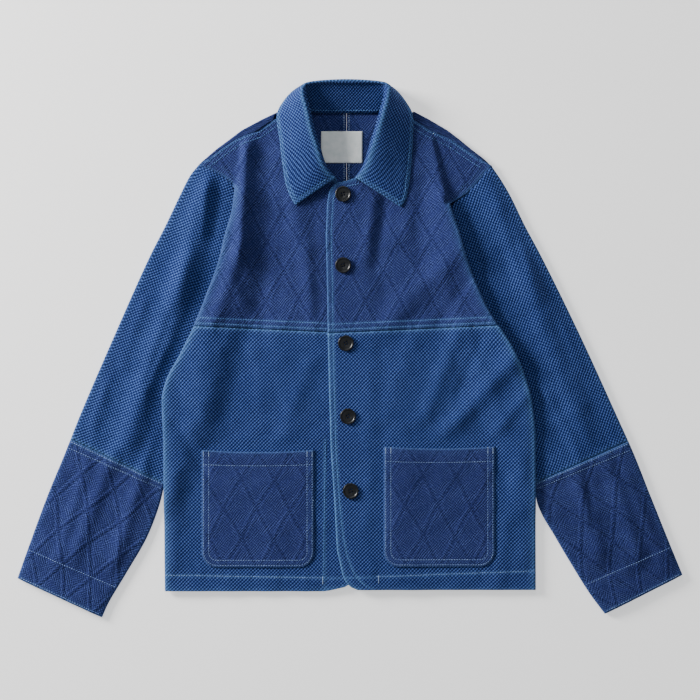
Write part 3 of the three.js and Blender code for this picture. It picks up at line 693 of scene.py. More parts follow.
@dataclass
class Panel:
    """A front panel: rows across the garment, its outer edge bent down like a fold."""

    half: HalfForm
    low: float
    high: float
    pitch: float
    outer_edge: Callable[[Array], Array]
    middle_edge: Callable[[Array], Array]
    turn: Callable[[Array], Array]
    height: Callable[[Array, Array], Array]
    wear: PanelWear
    row_wear: Callable[[Array, Array], Array]
    extra_rows: tuple[float, ...] = ()
    steps: int = 6

    def wall(self) -> Wall:
        """Make the panel's wall."""
        sign = self.half.sign
        count = int((self.high - self.low) / self.pitch) + 1
        rows = np.unique(np.concatenate([np.linspace(self.low, self.high, count),
                                         np.array(self.extra_rows, float)]))
        angle = self.turn(rows)
        reach = FRONT_TURN * np.sin(np.minimum(angle, math.pi / 2))
        flat = self.outer_edge(rows) - sign * reach
        middle = self.middle_edge(rows)
        columns = int(np.max(np.abs(flat - middle)) / self.pitch) + 2
        share = np.linspace(0, 1, columns)
        x = flat[:, None] + (middle - flat)[:, None] * share
        y = rows[:, None] + self.half.seam_tilt(x, rows[:, None])
        z = self.height(x, y)
        top = np.stack([x, y, z], -1)
        under = top - normals_of(top) * CLOTH * -sign
        turns = angle[:, None] * np.arange(self.steps, 0, -1) / self.steps
        outer = np.concatenate([self.bend(flat, top[:, 0], turns, FRONT_TURN), top], 1)
        inner = np.concatenate([self.bend(flat, top[:, 0], turns, FRONT_TURN - CLOTH), under], 1)
        plan_bent = np.stack([flat[:, None] + sign * FRONT_TURN * turns,
                              np.repeat(rows[:, None], self.steps, 1)], -1)
        plan_top = np.stack([x, np.repeat(rows[:, None], columns, 1)], -1)
        plan = np.concatenate([plan_bent, plan_top], 1)
        lower, upper = (rows - self.low)[:, None], (self.high - rows)[:, None]
        edge = np.stack([middle, rows], -1)
        from_middle = np.min(np.linalg.norm(plan_top[:, :, None] - edge, axis=-1), -1)
        worn = self.wear.at((np.abs(x - flat[:, None]), from_middle, lower, upper))
        worn = worn + self.row_wear(x, y)
        worn = worn + 0.5 * np.exp(-((from_middle / 4) ** 2)) * smooth(215, 228, y)
        bent = np.full((len(rows), self.steps), self.wear.outer)
        worn = np.concatenate([bent, worn], 1)
        if self.half.side is Side.LEFT:
            outer, inner = outer[:, ::-1], inner[:, ::-1]
            plan, worn = plan[:, ::-1], worn[:, ::-1]
        return Wall(outer, inner, plan, wear=worn)

    def bend(self, flat: Array, edge: Array, turns: Array, r: float) -> Array:
        """Give the points of the bent edge.

        Args:
            flat: where each row's bend begins, across.
            edge: the surface's points there.
            turns: each row's angles round the bend.
            r: the bend's radius.

        Returns:
            A grid of points, row by row and angle by angle.
        """
        x = flat[:, None] + self.half.sign * r * np.sin(turns)
        y = np.repeat(edge[:, 1:2], turns.shape[1], 1)
        return np.stack([x, y, edge[:, 2:3] - FRONT_TURN + r * np.cos(turns)], -1)


def groove(distance: Array, depth: float = 0.5, width: float = 1.6) -> Array:
    """The furrow that a row of stitches pulls into cloth, to be taken off its height."""
    return depth * np.exp(-((distance / width) ** 2))


def seam_furrow(distance: Array) -> Array:
    """The deep, narrow furrow where two panels are joined."""
    return groove(distance, 0.9, 1.4)


def ripple(along: Array, distance: Array, height: float = 0.35, pitch: float = 13.0) -> Array:
    """Small puckers that run across a seam and fade away from it."""
    wave = np.sin(2 * math.pi * along / pitch) * np.sin(2 * math.pi * along / (pitch * 4.3) + 1)
    return height * wave * np.exp(-((distance / 7) ** 2))


def step_up(distance: Array, width: float, height: float = 0.6) -> Array:
    """The rise of a turned or felled seam: cloth is double up to a distance from its edge."""
    return height * (1 - smooth(width - 1.2, width + 1.8, distance))


def unevenness(x: Array, y: Array, height: float = 0.35) -> Array:
    """Gentle waves that keep worn cloth from lying dead flat.

    Args:
        x: places across.
        y: places up.
        height: about how high the waves rise.

    Returns:
        The height that they add.
    """
    total = np.zeros(np.broadcast(x, y).shape)
    for k in range(14):
        angle = 2.4 * k + 0.4
        length = 20 + 4.1 * ((k * 7) % 13)
        phase = (x * math.cos(angle) + y * math.sin(angle)) * 2 * math.pi / length
        total = total + np.sin(phase + 1.7 * k) * (length / 45)
    return total * height / 2.6


class Stitching:
    """Where rows of stitches run, as distances from their seams and edges."""

    CHEST = (4.5, 12.5)
    SHOULDER = (3.2, 10.5)
    ARMHOLE = (3.4, 10.4)
    SLEEVE = (3.5, 13.0)
    CENTRE_BACK = 3.6
    COLLAR = 5.2
    CUFF_HEM = 46.0
    # The stitch row along the wearer's left front edge, X against Y
    PLACKET = Curve([(-349, 33), (-343, 21), (-333, 11), (-322, 4), (-300, -4), (-270, -10),
                     (-220, -15), (-148, -20), (-75, -22), (27, -24.5), (77, -25), (165, -27),
                     (205, -25)])
    POCKET_ROWS = (2.8, 10.2)
    POCKET_HEM = 21.0
    HEM = 18.5
    HEM_RISE = {Side.RIGHT: (-269, 5.0, -39, 1.0), Side.LEFT: (40, 1.0, 270, 9.0)}

    @staticmethod
    def hem_line(half: HalfForm, x: Array) -> Array:
        """The hem's stitch row, Y against X."""
        x0, a, x1, b = Stitching.HEM_RISE[half.side]
        return half.cut.hem + Stitching.HEM + lerp(a, b, (np.asarray(x, float) - x0) / (x1 - x0))

    @staticmethod
    def pocket_inset(fromside: Array, frombottom: Array) -> Array:
        """How far a place lies inside the pocket's sides and its round bottom corners."""
        r = POCKET_CORNER
        dx, dy = r - fromside, r - frombottom
        corner = r - np.hypot(np.maximum(dx, 0), np.maximum(dy, 0))
        return np.where((dx > 0) & (dy > 0), corner, np.minimum(fromside, frombottom))


class Half(HalfForm):
    """A half with its finished outer faces: their furrows, puckers, gentle waves and wear."""

    def free(self, x: Array, y: Array) -> Array:
        """Where the cloth may wave: not under a pocket, a button or another layer."""
        cut = self.cut.pocket
        side = smooth(0, 18, np.abs(x - cut.middle) - cut.half)
        ends = smooth(0, 18, np.abs(y - (cut.top + cut.bottom) / 2) - (cut.top - cut.bottom) / 2)
        buttons = smooth(14, 30, np.abs(x + 5))
        return np.maximum(side, ends) * buttons * smooth(2, 20, self.inside_body(x, y))

    def body_face(self, x: Array, y: Array) -> Array:
        """The form that both fronts share: the layers under them, puckers and gentle waves."""
        puckers = ripple(x, self.above_chest(x, y), 0.4)
        return self.front_height(x, y) + puckers + unevenness(x, y) * self.free(x, y)

    def front_face(self, x: Array, y: Array) -> Array:
        """Outer face of the light front."""
        seam = self.above_chest(x, y)
        z = self.body_face(x, y)
        hem = y - Stitching.hem_line(self, x)
        z = z - groove(hem, 0.5) + ripple(x, hem, 0.45, 17) + step_up(hem, 0, 0.5)
        return z - self.placket_furrow(x, y) - seam_furrow(seam)

    def yoke_face(self, x: Array, y: Array) -> Array:
        """Outer face of the dark upper front."""
        seam = self.above_chest(x, y)
        low = CHEST_Y + SEAM / 2
        z = self.body_face(x, y)
        z = z + step_up(seam, Stitching.CHEST[1])
        z = z + DIAMOND_RISE * diamond(x, y - low) * smooth(CHEST_Y + 8, CHEST_Y + 20, y)
        for apart in Stitching.CHEST:
            z = z - groove(seam - apart, 0.45)
        z = z - self.placket_furrow(x, y)
        inside = SHOULDER_SLANT * self.sign * (self.yoke_outer(y) - x)
        lying = smooth(262, 276, y) * (1 - smooth(1, 15, inside))
        z = lerp(z, np.minimum(z, SHOULDER_LEVEL + 0.2), lying)
        return z - seam_furrow(seam)

    def placket_furrow(self, x: Array, y: Array) -> Array:
        """The furrow of the row beside the front edge, on the wearer's left only."""
        if self.side is Side.RIGHT:
            return np.zeros(np.shape(x))
        return groove(x - Stitching.PLACKET(y), 0.5) * (x < OVERLAP_X + 20)

    def yoke_row_wear(self, x: Array, y: Array) -> Array:
        """Wear along the rows of the dark upper front."""
        seam = self.above_chest(x, y)
        worn = sum(groove(seam - apart, 0.35, 1.5) for apart in Stitching.CHEST)
        return worn + self.placket_wear(x, y)

    def front_row_wear(self, x: Array, y: Array) -> Array:
        """Wear along the rows of the light front."""
        worn = groove(y - Stitching.hem_line(self, x), 0.3, 1.6)
        return worn + self.placket_wear(x, y)

    def placket_wear(self, x: Array, y: Array) -> Array:
        """Wear along the row beside the front edge of the wearer's left."""
        if self.side is Side.RIGHT:
            return groove(x + 37, 0.3, 2.0) * (1 - smooth(-150, -120, y))
        return groove(x - Stitching.PLACKET(y), 0.35, 1.6) * (x < OVERLAP_X + 20)

    def pocket_face(self, x: Array, y: Array, along: Array) -> Array:
        """Outer face of a patch pocket."""
        cut = self.cut.pocket
        z = self.front_height(x, y) + LAYER_GAP + WALL + 0.35 + unevenness(x, y, 0.3)
        z = z + DIAMOND_RISE * diamond(x - cut.middle, along - cut.top)
        z = z + step_up(cut.top - along, Stitching.POCKET_HEM, 0.5)
        fromside = cut.half - np.abs(x - cut.middle)
        frombottom = along - cut.bottom
        edge = Stitching.pocket_inset(fromside, frombottom)
        for apart in Stitching.POCKET_ROWS:
            z = z - groove(edge - apart, 0.45)
        z = z - groove(cut.top - Stitching.POCKET_HEM - along, 0.5)
        return z - 0.9 * np.exp(-np.minimum(edge, 12) / 1.2)


HALVES = {Side.RIGHT: Half(Side.RIGHT, RIGHT_CUT), Side.LEFT: Half(Side.LEFT, LEFT_CUT)}


def build_yoke(half: Half) -> bpy.types.Object:
    """Make a dark upper front, from the chest seam to the shoulder seam."""
    low = CHEST_Y + SEAM / 2
    panel = Panel(
        half=half, low=low, high=332, pitch=2.5,
        outer_edge=half.yoke_outer, middle_edge=half.yoke_middle,
        turn=lambda y: lerp(2.6, 0.7, smooth(half.cut.meets - 12, half.cut.meets + 6, y)),
        height=half.yoke_face,
        wear=PanelWear(0.4, 0.8, 0.5, 0.2),
        row_wear=half.yoke_row_wear,
        extra_rows=(276, 289, 303, 316, 325),
    )
    wall = panel.wall()
    wall.uv = wall.uv - np.array([0, low])
    return wall.make(f"yoke_{half.side.word}_cloth")


def build_front(half: Half) -> bpy.types.Object:
    """Make a light lower front, with a round lower corner at the front edge."""
    panel = Panel(
        half=half, low=half.cut.hem, high=CHEST_Y - SEAM / 2, pitch=2.6,
        outer_edge=half.body_edge, middle_edge=half.front_middle,
        turn=lambda y: lerp(math.pi / 2, 2.6, smooth(-70, -20, y)),
        height=half.front_face,
        wear=PanelWear(0.35, 0.8, 0.3, 0.5),
        row_wear=half.front_row_wear,
        extra_rows=(half.cut.hem + 1, -347, -340),
    )
    return panel.wall().make(f"front_{half.side.word}_cloth")


def build_pocket(half: Half) -> bpy.types.Object:
    """Make a patch pocket with round lower corners and a sagging top edge."""
    cut = half.cut.pocket
    rows = np.concatenate([
        cut.bottom + POCKET_CORNER * (1 - np.cos(np.linspace(0, math.pi / 2, 12)))[:-1],
        np.linspace(cut.bottom + POCKET_CORNER, cut.top, 64),
    ])
    down = np.maximum(0, cut.bottom + POCKET_CORNER - rows)
    inset = POCKET_CORNER - np.sqrt(np.maximum(POCKET_CORNER**2 - down**2, 0))
    across = np.linspace(-1, 1, 72)
    x = cut.middle + (cut.half - inset)[:, None] * across
    share = smooth(cut.top - 60, cut.top, rows)[:, None]
    y = rows[:, None] - POCKET_SAG * share * (1 - across**2)
    along = np.repeat(rows[:, None], len(across), 1)
    z = half.pocket_face(x, y, along)
    outer = np.stack([x, y, z], -1)
    inner = np.stack([x, y, half.front_height(x, y) + LAYER_GAP * 0.8], -1)
    edge = Stitching.pocket_inset(cut.half - np.abs(x - cut.middle), along - cut.bottom)
    edge = np.minimum(edge, cut.top - along)
    worn = 0.5 * np.exp(-edge / 1.2) + 0.05 * np.exp(-((edge - 6.5) / 3) ** 2)
    wall = Wall(outer, inner, np.stack([x - cut.middle, along - cut.top], -1), wear=worn)
    return wall.make(f"pocket_{half.side.word}_cloth")


def build_back(half: Half) -> bpy.types.Object:
    """Make a back half: flat below, turned up at the side, wrapped over the shoulder."""
    sign = half.sign
    middle = CENTRE_BACK_X + sign * SEAM / 2
    rows = np.unique(np.concatenate([
        np.linspace(-349, 343, 139), [p[0] for p in half.armhole_line(0)],
        [270, 276, 289, 303, 316, 332, 343],
    ]))
    steps = 8
    outer, inner, plan = [], [], []
    for y in rows:
        edge = float(half.back_outer(y))
        over = float(smooth(264, 272, y))
        at_side = 1 - float(smooth(-62, -20, y))
        angle = max(0.25, math.pi / 2 * at_side, math.pi * over)
        seam_x = float(half.yoke_outer(y)) + sign * SEAM
        room = abs(edge - seam_x) if over > 0.5 else BACK_TURN
        up = float(lerp(BACK_TURN, SHOULDER_LEVEL / 2, over))
        across = max(2.4, min(up, room))
        flat = edge - sign * across * math.sin(min(angle, math.pi / 2))
        base = float(half.back_height(flat, y))

        def bend(a: float, inward: float) -> list[float]:
            """Give a point round the side's turn, an angle up from the table."""
            x = flat + sign * (across - inward) * math.sin(a)
            return [x, y, base + up - (up - inward) * math.cos(a)]

        strip = over > 0.5 and abs(flat - seam_x) > 0.6 and sign * (flat - seam_x) > 0
        low, high = bend(angle, 0), bend(angle, CLOTH)
        strap = np.linspace(0, 1, 7)[:, None]
        start_low = [seam_x, y, low[2]] if strip else low
        start_high = [seam_x, y, high[2]] if strip else high
        lower = [*(lerp(np.array(start_low), np.array(low), strap)[:-1])]
        upper = [*(lerp(np.array(start_high), np.array(high), strap)[:-1])]
        for k in range(steps, 0, -1):
            lower.append(np.array(bend(angle * k / steps, 0)))
            upper.append(np.array(bend(angle * k / steps, CLOTH)))
        xs = np.linspace(flat, middle, 64)
        z = half.back_height(xs, y)
        slopes = slope_of(half.back_height, xs, np.full(xs.shape, y))
        steep = np.minimum(1.6, np.sqrt(slopes[0] ** 2 + slopes[1] ** 2 + 1))
        lower.extend(np.stack([xs, np.full(xs.shape, y), z], -1))
        upper.extend(np.stack([xs, np.full(xs.shape, y), z + CLOTH * steep], -1))
        lower, upper = np.array(lower), np.array(upper)
        turned = run_along(lower)
        outer.append(upper)
        inner.append(lower)
        plan.append(np.stack([middle + sign * (turned[-1] - turned), np.full(turned.shape, y)], -1))
    outer, inner, plan = np.array(outer), np.array(inner), np.array(plan)
    for grid in (outer, inner):
        near = 1 - smooth(-349, -315, grid[..., 1])
        grid[..., 1] += 7.5 * near * np.exp(-(((grid[..., 0] + 2) / 19) ** 2))
    if half.side is Side.LEFT:
        outer, inner, plan = outer[:, ::-1], inner[:, ::-1], plan[:, ::-1]
    return Wall(outer, inner, plan).make(f"back_{half.side.word}_cloth")


# Lengths of a sleeve, in millimetres for the whole run of a share from 0 to 1
LOWER_RUN = 640.0
SEAM_RUN = 600.0
UPPER_RUN = 560.0
SLEEVE_WIDTH = 170.0
# The lower sleeve's length as its rows are measured, from the seam down and from the cuff up
BELOW_SEAM_RUN = 646.8
ABOVE_CUFF_RUN = 660.0
# Half of the gap at the sleeve's seam, as a share of its length
SLEEVE_GAP = 0.0004


@dataclass
class SleeveTube:
    """A flattened tube of cloth between two stations of a sleeve."""

    half: Half
    start: float
    end: float
    dark: bool
    rings: int
    shares: int

    def wall(self) -> Wall:
        """Make the tube's wall."""
        s = np.linspace(self.start, self.end, self.rings)[:, None]
        inner_radius = lerp(TUCKED_LEVEL, SLEEVE_LEVEL, smooth(0.6, 0.9, s)) / 2
        outer_radius = np.full(s.shape, SLEEVE_LEVEL / 2)
        turns = np.linspace(-math.pi / 2, math.pi / 2, 10)
        first = self.edge(s, 0.0, 0.04, outer_radius, turns)
        t = np.linspace(0.04, 0.96, self.shares)[None, :]
        x, y = self.half.sleeve_place(s, t)
        top = np.stack([x, y, self.height(s, t)], -1)
        normal = normals_of(top) * (1 if self.half.side is Side.LEFT else -1)
        normal = normal * np.sign(normal[..., 2:3])
        last = self.edge(s, 1.0, 0.96, inner_radius, turns[::-1])
        below = np.linspace(0.95, 0.05, 14)[None, :]
        bx, by = self.half.sleeve_place(s, below)
        flat = np.stack([bx, by, np.zeros(bx.shape)], -1)
        outer = np.concatenate([first[0], top, last[0], flat], 1)
        inner = np.concatenate([first[1], top - normal * CLOTH, last[1],
                                flat + np.array([0, 0, CLOTH])], 1)
        shares = np.concatenate([
            np.full((self.rings, len(turns)), 0.0) + np.linspace(-0.02, 0.03, len(turns)),
            np.repeat(t, self.rings, 0),
            np.full((self.rings, len(turns)), 1.0) + np.linspace(-0.03, 0.02, len(turns)),
            np.repeat(below, self.rings, 0),
        ], 1)
        uv = self.cloth_places(np.repeat(s, shares.shape[1], 1), shares)
        facing = self.half.side is Side.LEFT
        rim = np.exp(-np.minimum(np.abs(shares), np.abs(1 - shares)) * SLEEVE_WIDTH / 3.5)
        seam = np.exp(-np.abs(s - SLEEVE_SEAM) * SEAM_RUN / 2.2)
        cuff = np.exp(-(1 - s) * LOWER_RUN / 2.4)
        worn = 0.3 * rim + (0.7 if self.dark else 0.6) * seam + 0.55 * cuff
        return Wall(outer[::-1], inner[::-1], uv[::-1], closed=True, facing_up=facing,
                    wear=worn[::-1])

    def height(self, s: Array, t: Array) -> Array:
        """Height of the upper face, with its woven lines and the furrows of its seams."""
        z = self.half.sleeve_top(s, t)
        place = self.cloth_places(*np.broadcast_arrays(s, t))
        if self.dark:
            z = z + DIAMOND_RISE * diamond(place[..., 0], place[..., 1]) * smooth(0, 0.05, t)
            seam = (s - SLEEVE_SEAM) * LOWER_RUN
            for apart in Stitching.SLEEVE:
                z = z - groove(seam - apart, 0.45)
            hem = (1 - s) * LOWER_RUN - Stitching.CUFF_HEM
            z = z - groove(hem, 0.5) + step_up(hem, 0, 0.4) + ripple(t * 150, hem, 0.3, 15)
            z = z + step_up(seam, Stitching.SLEEVE[1]) * smooth(0, 0.05, t) * smooth(0, 0.05, 1 - t)
        else:
            seam = (SLEEVE_SEAM - s) * UPPER_RUN
        across = t * SLEEVE_WIDTH
        fade = smooth(0, 0.06, t) * smooth(0, 0.06, 1 - t)
        x, y = self.half.sleeve_place(s, t)
        free = smooth(10, 34, -self.half.inside_body(x, y)) * smooth(0.04, 0.16, t)
        free = np.maximum(free, smooth(0.65, 0.7, s)) * smooth(0.02, 0.1, 1 - t)
        waves = unevenness(x, y, 0.4) * free
        return z + waves + (ripple(across, seam, 0.45) - seam_furrow(seam)) * fade

    def edge(
        self, s: Array, t: float, near: float, radius: Array, turns: Array
    ) -> tuple[Array, Array]:
        """Give the outer and inner points of a sleeve's rolled edge."""
        x, y = self.half.sleeve_place(s, np.array([[t]]))
        nx, ny = self.half.sleeve_place(s, np.array([[near]]))
        length = np.hypot(nx - x, ny - y)
        dx, dy = (nx - x) / length, (ny - y) / length
        a = turns[None, :]
        layers = []
        for inward in (0, CLOTH):
            r = radius - inward
            at = radius - r * np.cos(a)
            layers.append(np.stack([x + dx * at, y + dy * at, radius + r * np.sin(a)], -1))
        return layers[0], layers[1]

    def cloth_places(self, s: Array, t: Array) -> Array:
        """Give places in the cloth: across and up its grain, in millimetres."""
        if self.dark:
            row = (s - SLEEVE_SEAM) / (1 - SLEEVE_SEAM) * 10
            return np.stack([(t - 0.06) / 0.88 * 11 * 12 * self.half.sign, -row * 21.5], -1)
        x, y = self.half.sleeve_place(s, t)
        a = math.radians(25) * self.half.sign
        return np.stack([x * math.cos(a) + y * math.sin(a), y * math.cos(a) - x * math.sin(a)], -1)


COLLAR_WALL = 3.0
ROLL_RADIUS = 5.0
COLLAR_SECTIONS = (
    ((-19, 243), (-21, 246, 15), (-79, 207)),
    ((-31, 250), (-30, 256, 20), (-86, 219)),
    ((-47, 261), (-38, 269, 25), (-93, 238)),
    ((-66, 276), (-45, 291, 30), (-98, 269)),
    ((-79, 300), (-53, 316, 34), (-102, 303)),
    ((-84, 322), (-59, 343, 36), (-106, 336)),
    ((-79, 338, 9), (-64, 363, 35), (-97, 357, 8)),
    ((-66, 344, 4), (-62, 377, 33), (-78, 376, 4.5)),
    ((-48, 341.6, 2.8), (-45, 381, 31), (-52, 383, 2.4)),
    ((-5, 341.5, 2.7), (-5, 380, 30), (-5, 383, 2)),
    ((38, 341.6, 2.8), (35, 381, 31), (42, 383, 2.4)),
    ((55, 344, 4), (50, 377, 33), (64, 376, 4.5)),
    ((66, 338, 9), (50, 363, 35), (81, 357, 8)),
    ((71, 322), (45, 341, 36), (91, 336)),
    ((67, 300), (38, 317, 34), (91, 303)),
    ((55, 276), (30, 292, 30), (89, 269)),
    ((37, 260), (23, 270, 26), (86, 240)),
    ((21, 249), (16, 256, 22), (81, 217)),
    ((9, 243), (8, 246, 19), (74, 204)),
)


def on_front(place: Sequence[float]) -> Array:
    """Give the level of a collar edge that lies on a front or a shoulder."""
    if len(place) == 3:
        return np.array(place, float)
    x, y = place
    half = HALVES[Side.RIGHT if x < CENTRE_BACK_X else Side.LEFT]
    level = float(half.front_height(np.array(x, float), np.array(y, float)))
    return np.array([x, y, level + DIAMOND_RISE + LAYER_GAP + COLLAR_WALL / 2])


def section_line(seam: Array, roll: Array, fall: Array) -> Array:
    """Give one section of the collar: up the stand, over the roll and down the fall."""
    out = (fall - roll) * np.array([1, 1, 0])
    out = out / np.linalg.norm(out)
    size = min(ROLL_RADIUS, (roll[2] - seam[2]) / 2)
    edge = roll - np.array([0, 0, size])
    up = np.array([0, 0, 1.0])

    def over(a: float) -> Array:
        """Give a point of the roll."""
        return edge + out * size * (1 - math.cos(a)) + up * size * math.sin(a)

    crest = over(math.pi / 2)
    return np.array([
        seam,
        lerp(seam, edge, 0.5) - up * 0.5,
        edge,
        over(math.pi / 4),
        crest,
        lerp(crest, fall, 0.25) + up * 1.5,
        lerp(crest, fall, 0.6) + up * 1.2,
        fall,
    ])


def bent_through(points: Array, shares: Array) -> Array:
    """Follow a smooth line through points.

    Args:
        points: the points, along the first axis.
        shares: places along the line, counted in points.

    Returns:
        A point for each place.
    """
    padded = np.concatenate([[2 * points[0] - points[1]], points, [2 * points[-1] - points[-2]]])
    i = np.clip(np.floor(shares).astype(int), 0, len(points) - 2)
    t = (shares - i).reshape((-1,) + (1,) * (points.ndim - 1))
    a, b, c, d = padded[i], padded[i + 1], padded[i + 2], padded[i + 3]
    return 0.5 * (2 * b + (c - a) * t + (2 * a - 5 * b + 4 * c - d) * t**2
                  + (3 * b - a - 3 * c + d) * t**3)


class CollarForm:
    """The collar's surface: round the neck by one share, stand to fall by another."""

    def __init__(self, rounds: int = 240, across: int = 60) -> None:
        """Work the surface out on a grid.

        Args:
            rounds: points round the neck.
            across: points from the neck seam to the outer edge.
        """
        lines = np.array([section_line(*[on_front(p) for p in row]) for row in COLLAR_SECTIONS])
        self.rounds = np.linspace(0, len(lines) - 1, rounds)
        bent = bent_through(lines, self.rounds)
        crest, last = 4, lines.shape[1] - 1
        self.places = np.concatenate([np.linspace(0, crest, across // 3)[:-1],
                                      np.linspace(crest, last, across - across // 3 + 1)])
        self.middle = bent_through(bent.transpose(1, 0, 2), self.places).transpose(1, 0, 2)
        self.normal = -normals_of(self.middle)
        steps = np.linalg.norm(np.diff(self.middle, axis=1), axis=-1)
        self.across = np.concatenate([np.zeros((rounds, 1)), np.cumsum(steps, 1)], 1)
        along = run_along(self.middle[:, across // 2])
        self.along = np.repeat(along[:, None], self.across.shape[1], 1)
        self.outer_along = run_along(self.middle[:, -1])

    def edge_distance(self) -> Array:
        """How far each place lies inside the outer edge and the two ends."""
        from_outer = self.across[:, -1:] - self.across
        from_start = np.linalg.norm(self.middle - self.middle[:1], axis=-1)
        from_end = np.linalg.norm(self.middle - self.middle[-1:], axis=-1)
        return np.minimum(from_outer, np.minimum(from_start, from_end))

    def outer(self) -> Array:
        """The upper face, which thins at its turned edges and swells inside them."""
        edge = self.edge_distance()
        lift = COLLAR_WALL / 2 - 1.0 * np.exp(-edge / 1.6) - groove(edge - Stitching.COLLAR, 0.55, 1.8)
        wave = 0.5 * np.sin(self.along / 23) * np.sin(self.across / 17 + self.along / 41)
        lift = lift + wave * smooth(12, 25, edge) * smooth(4, 5, self.places)
        return self.middle + self.normal * lift[..., None]

    def inner(self) -> Array:
        """The under face."""
        return self.middle - self.normal * (COLLAR_WALL / 2 - 0.3)


def build_collar(form: CollarForm) -> bpy.types.Object:
    """Make the turned collar, stand and fall in one."""
    uv = np.stack([form.along, form.across], -1)
    edge = form.edge_distance()
    worn = 0.62 * np.exp(-edge / 1.5) + groove(edge - Stitching.COLLAR, 0.2, 1.4)
    worn = worn + 0.45 * np.exp(-((form.places - 3.9) / 0.35) ** 2)
    wall = Wall(form.outer(), form.inner(), uv, facing_up=False, wear=worn)
    return wall.make("collar_cloth")


@dataclass(frozen=True)
class LabelCut:
    """Where the bare label lies on the inner back."""

    left: float = -42
    right: float = 18
    bottom: float = 269
    top: float = 315
    thickness: float = 0.8


def build_label(cut: LabelCut) -> bpy.types.Object:
    """Make the bare woven label, a little bowed."""
    y, x = np.meshgrid(np.linspace(cut.bottom, cut.top, 24), np.linspace(cut.left, cut.right, 32),
                       indexing="ij")
    bow = 0.5 * np.sin(math.pi * (x - cut.left) / (cut.right - cut.left))
    bow = bow * smooth(cut.bottom, cut.top, y)
    base = WALL + SEAM + bow
    edge = np.minimum(np.minimum(x - cut.left, cut.right - x),
                      np.minimum(y - cut.bottom, cut.top - y))
    top = base + cut.thickness - 0.25 * np.exp(-edge / 0.8) - groove(edge - 2.2, 0.15, 0.7)
    uv = np.stack([x, y], -1)
    wall = Wall(np.stack([x, y, top], -1), np.stack([x, y, base], -1), uv)
    return wall.make("neck_label_cloth")


@dataclass(frozen=True)
class ButtonCut:
    """Sizes of a dished button with four holes."""

    radius: float = 11.5
    height: float = 3.4
    dish: float = 1.1
    hole: float = 1.15
    hole_offset: float = 2.4
    places: tuple = ((-10, 223), (-10, 120), (-6, 7), (-3, -99), (1, -207))

    def profile(self) -> list[tuple[float, float]]:
        """Give the turned outline, as radius and height."""
        r, h, d = self.radius, self.height, self.dish
        rim = [(r - 0.1 + 0.1 * math.cos(a) - 1.2 * (1 - math.cos(a)), h - 1.1 + 1.1 * math.sin(a))
               for a in np.linspace(0, math.pi / 2, 6)]
        fall = [(r - 1.5 - 2.0 * t, h - d * float(smooth(0, 1, t))) for t in np.linspace(0, 1, 7)]
        return [(0, 0), (r - 2, 0), (r - 0.5, 0.5), *rim, *fall, (3.9, h - d), (3.6, h - d - 0.2),
                (0, h - d - 0.25)]


def under_button(x: float, y: float, radius: float) -> float:
    """Give the highest point of the wearer's left front under a button."""
    half = HALVES[Side.LEFT]
    a = np.arange(12) * math.pi / 6
    heights = half.front_height(x + radius * np.cos(a), y + radius * np.sin(a))
    return float(np.max(heights)) + (0.6 if y > CHEST_Y else 0)


def build_button(cut: ButtonCut, place: tuple[float, float], name: str) -> bpy.types.Object:
    """Make one button: a turned disc with a rim and a dish, drilled four times."""
    level = under_button(*place, cut.radius) + SEAM
    sides = 56
    bm = bmesh.new()
    rings = []
    for radius, height in cut.profile():
        if radius == 0:
            rings.append([bm.verts.new((0, 0, height))])
            continue
        turns = [2 * math.pi * k / sides for k in range(sides)]
        rings.append([bm.verts.new((radius * math.cos(a), radius * math.sin(a), height))
                      for a in turns])
    for low, high in zip(rings, rings[1:]):
        for k in range(sides):
            n = (k + 1) % sides
            corners = [low[k % len(low)], low[n % len(low)],
                       high[n % len(high)], high[k % len(high)]]
            bm.faces.new(list(dict.fromkeys(corners)))
    bmesh.ops.recalc_face_normals(bm, faces=bm.faces)
    disc = object_of(bm, name)
    drill_mesh = bmesh.new()
    for k in range(4):
        a = math.pi / 4 + k * math.pi / 2 + 0.3
        centre = Vector((cut.hole_offset * math.cos(a), cut.hole_offset * math.sin(a), 0))
        made = bmesh.ops.create_cone(drill_mesh, cap_ends=True, segments=16, radius1=cut.hole,
                                     radius2=cut.hole, depth=4 * cut.height)
        bmesh.ops.translate(drill_mesh, verts=made["verts"], vec=centre)
    drill = object_of(drill_mesh, f"{name}_drill")
    cutter = disc.modifiers.new("holes", "BOOLEAN")
    cutter.operation = "DIFFERENCE"
    cutter.solver = "EXACT"
    cutter.object = drill
    graph = bpy.context.evaluated_depsgraph_get()
    result = bpy.data.meshes.new_from_object(disc.evaluated_get(graph))
    bpy.data.objects.remove(drill)
    bpy.data.objects.remove(disc)
    for vertex in result.vertices:
        vertex.co = (vertex.co + Vector((place[0], place[1] + MIDDLE_Y, level))) * MM
    for polygon in result.polygons:
        polygon.use_smooth = True
    result.set_sharp_from_angle(angle=math.radians(40))
    return placed(name, result)


def object_of(bm: bmesh.types.BMesh, name: str) -> bpy.types.Object:
    """Turn a bmesh into an object and free it."""
    mesh = bpy.data.meshes.new(name)
    bm.to_mesh(mesh)
    bm.free()
    return placed(name, mesh)


# A row whose stitches are closer than this, in millimetres, is a bar tack
BAR_PITCH = 2.0


@dataclass
class Row:
    """A row of stitches along a line that lies on the cloth, in millimetres."""

    points: Array
    normals: Array
    pitch: float = 3.7

    def moved_out(self, lift: float) -> Array:
        """Give the row's points a little above the cloth."""
        return self.points + self.normals * lift


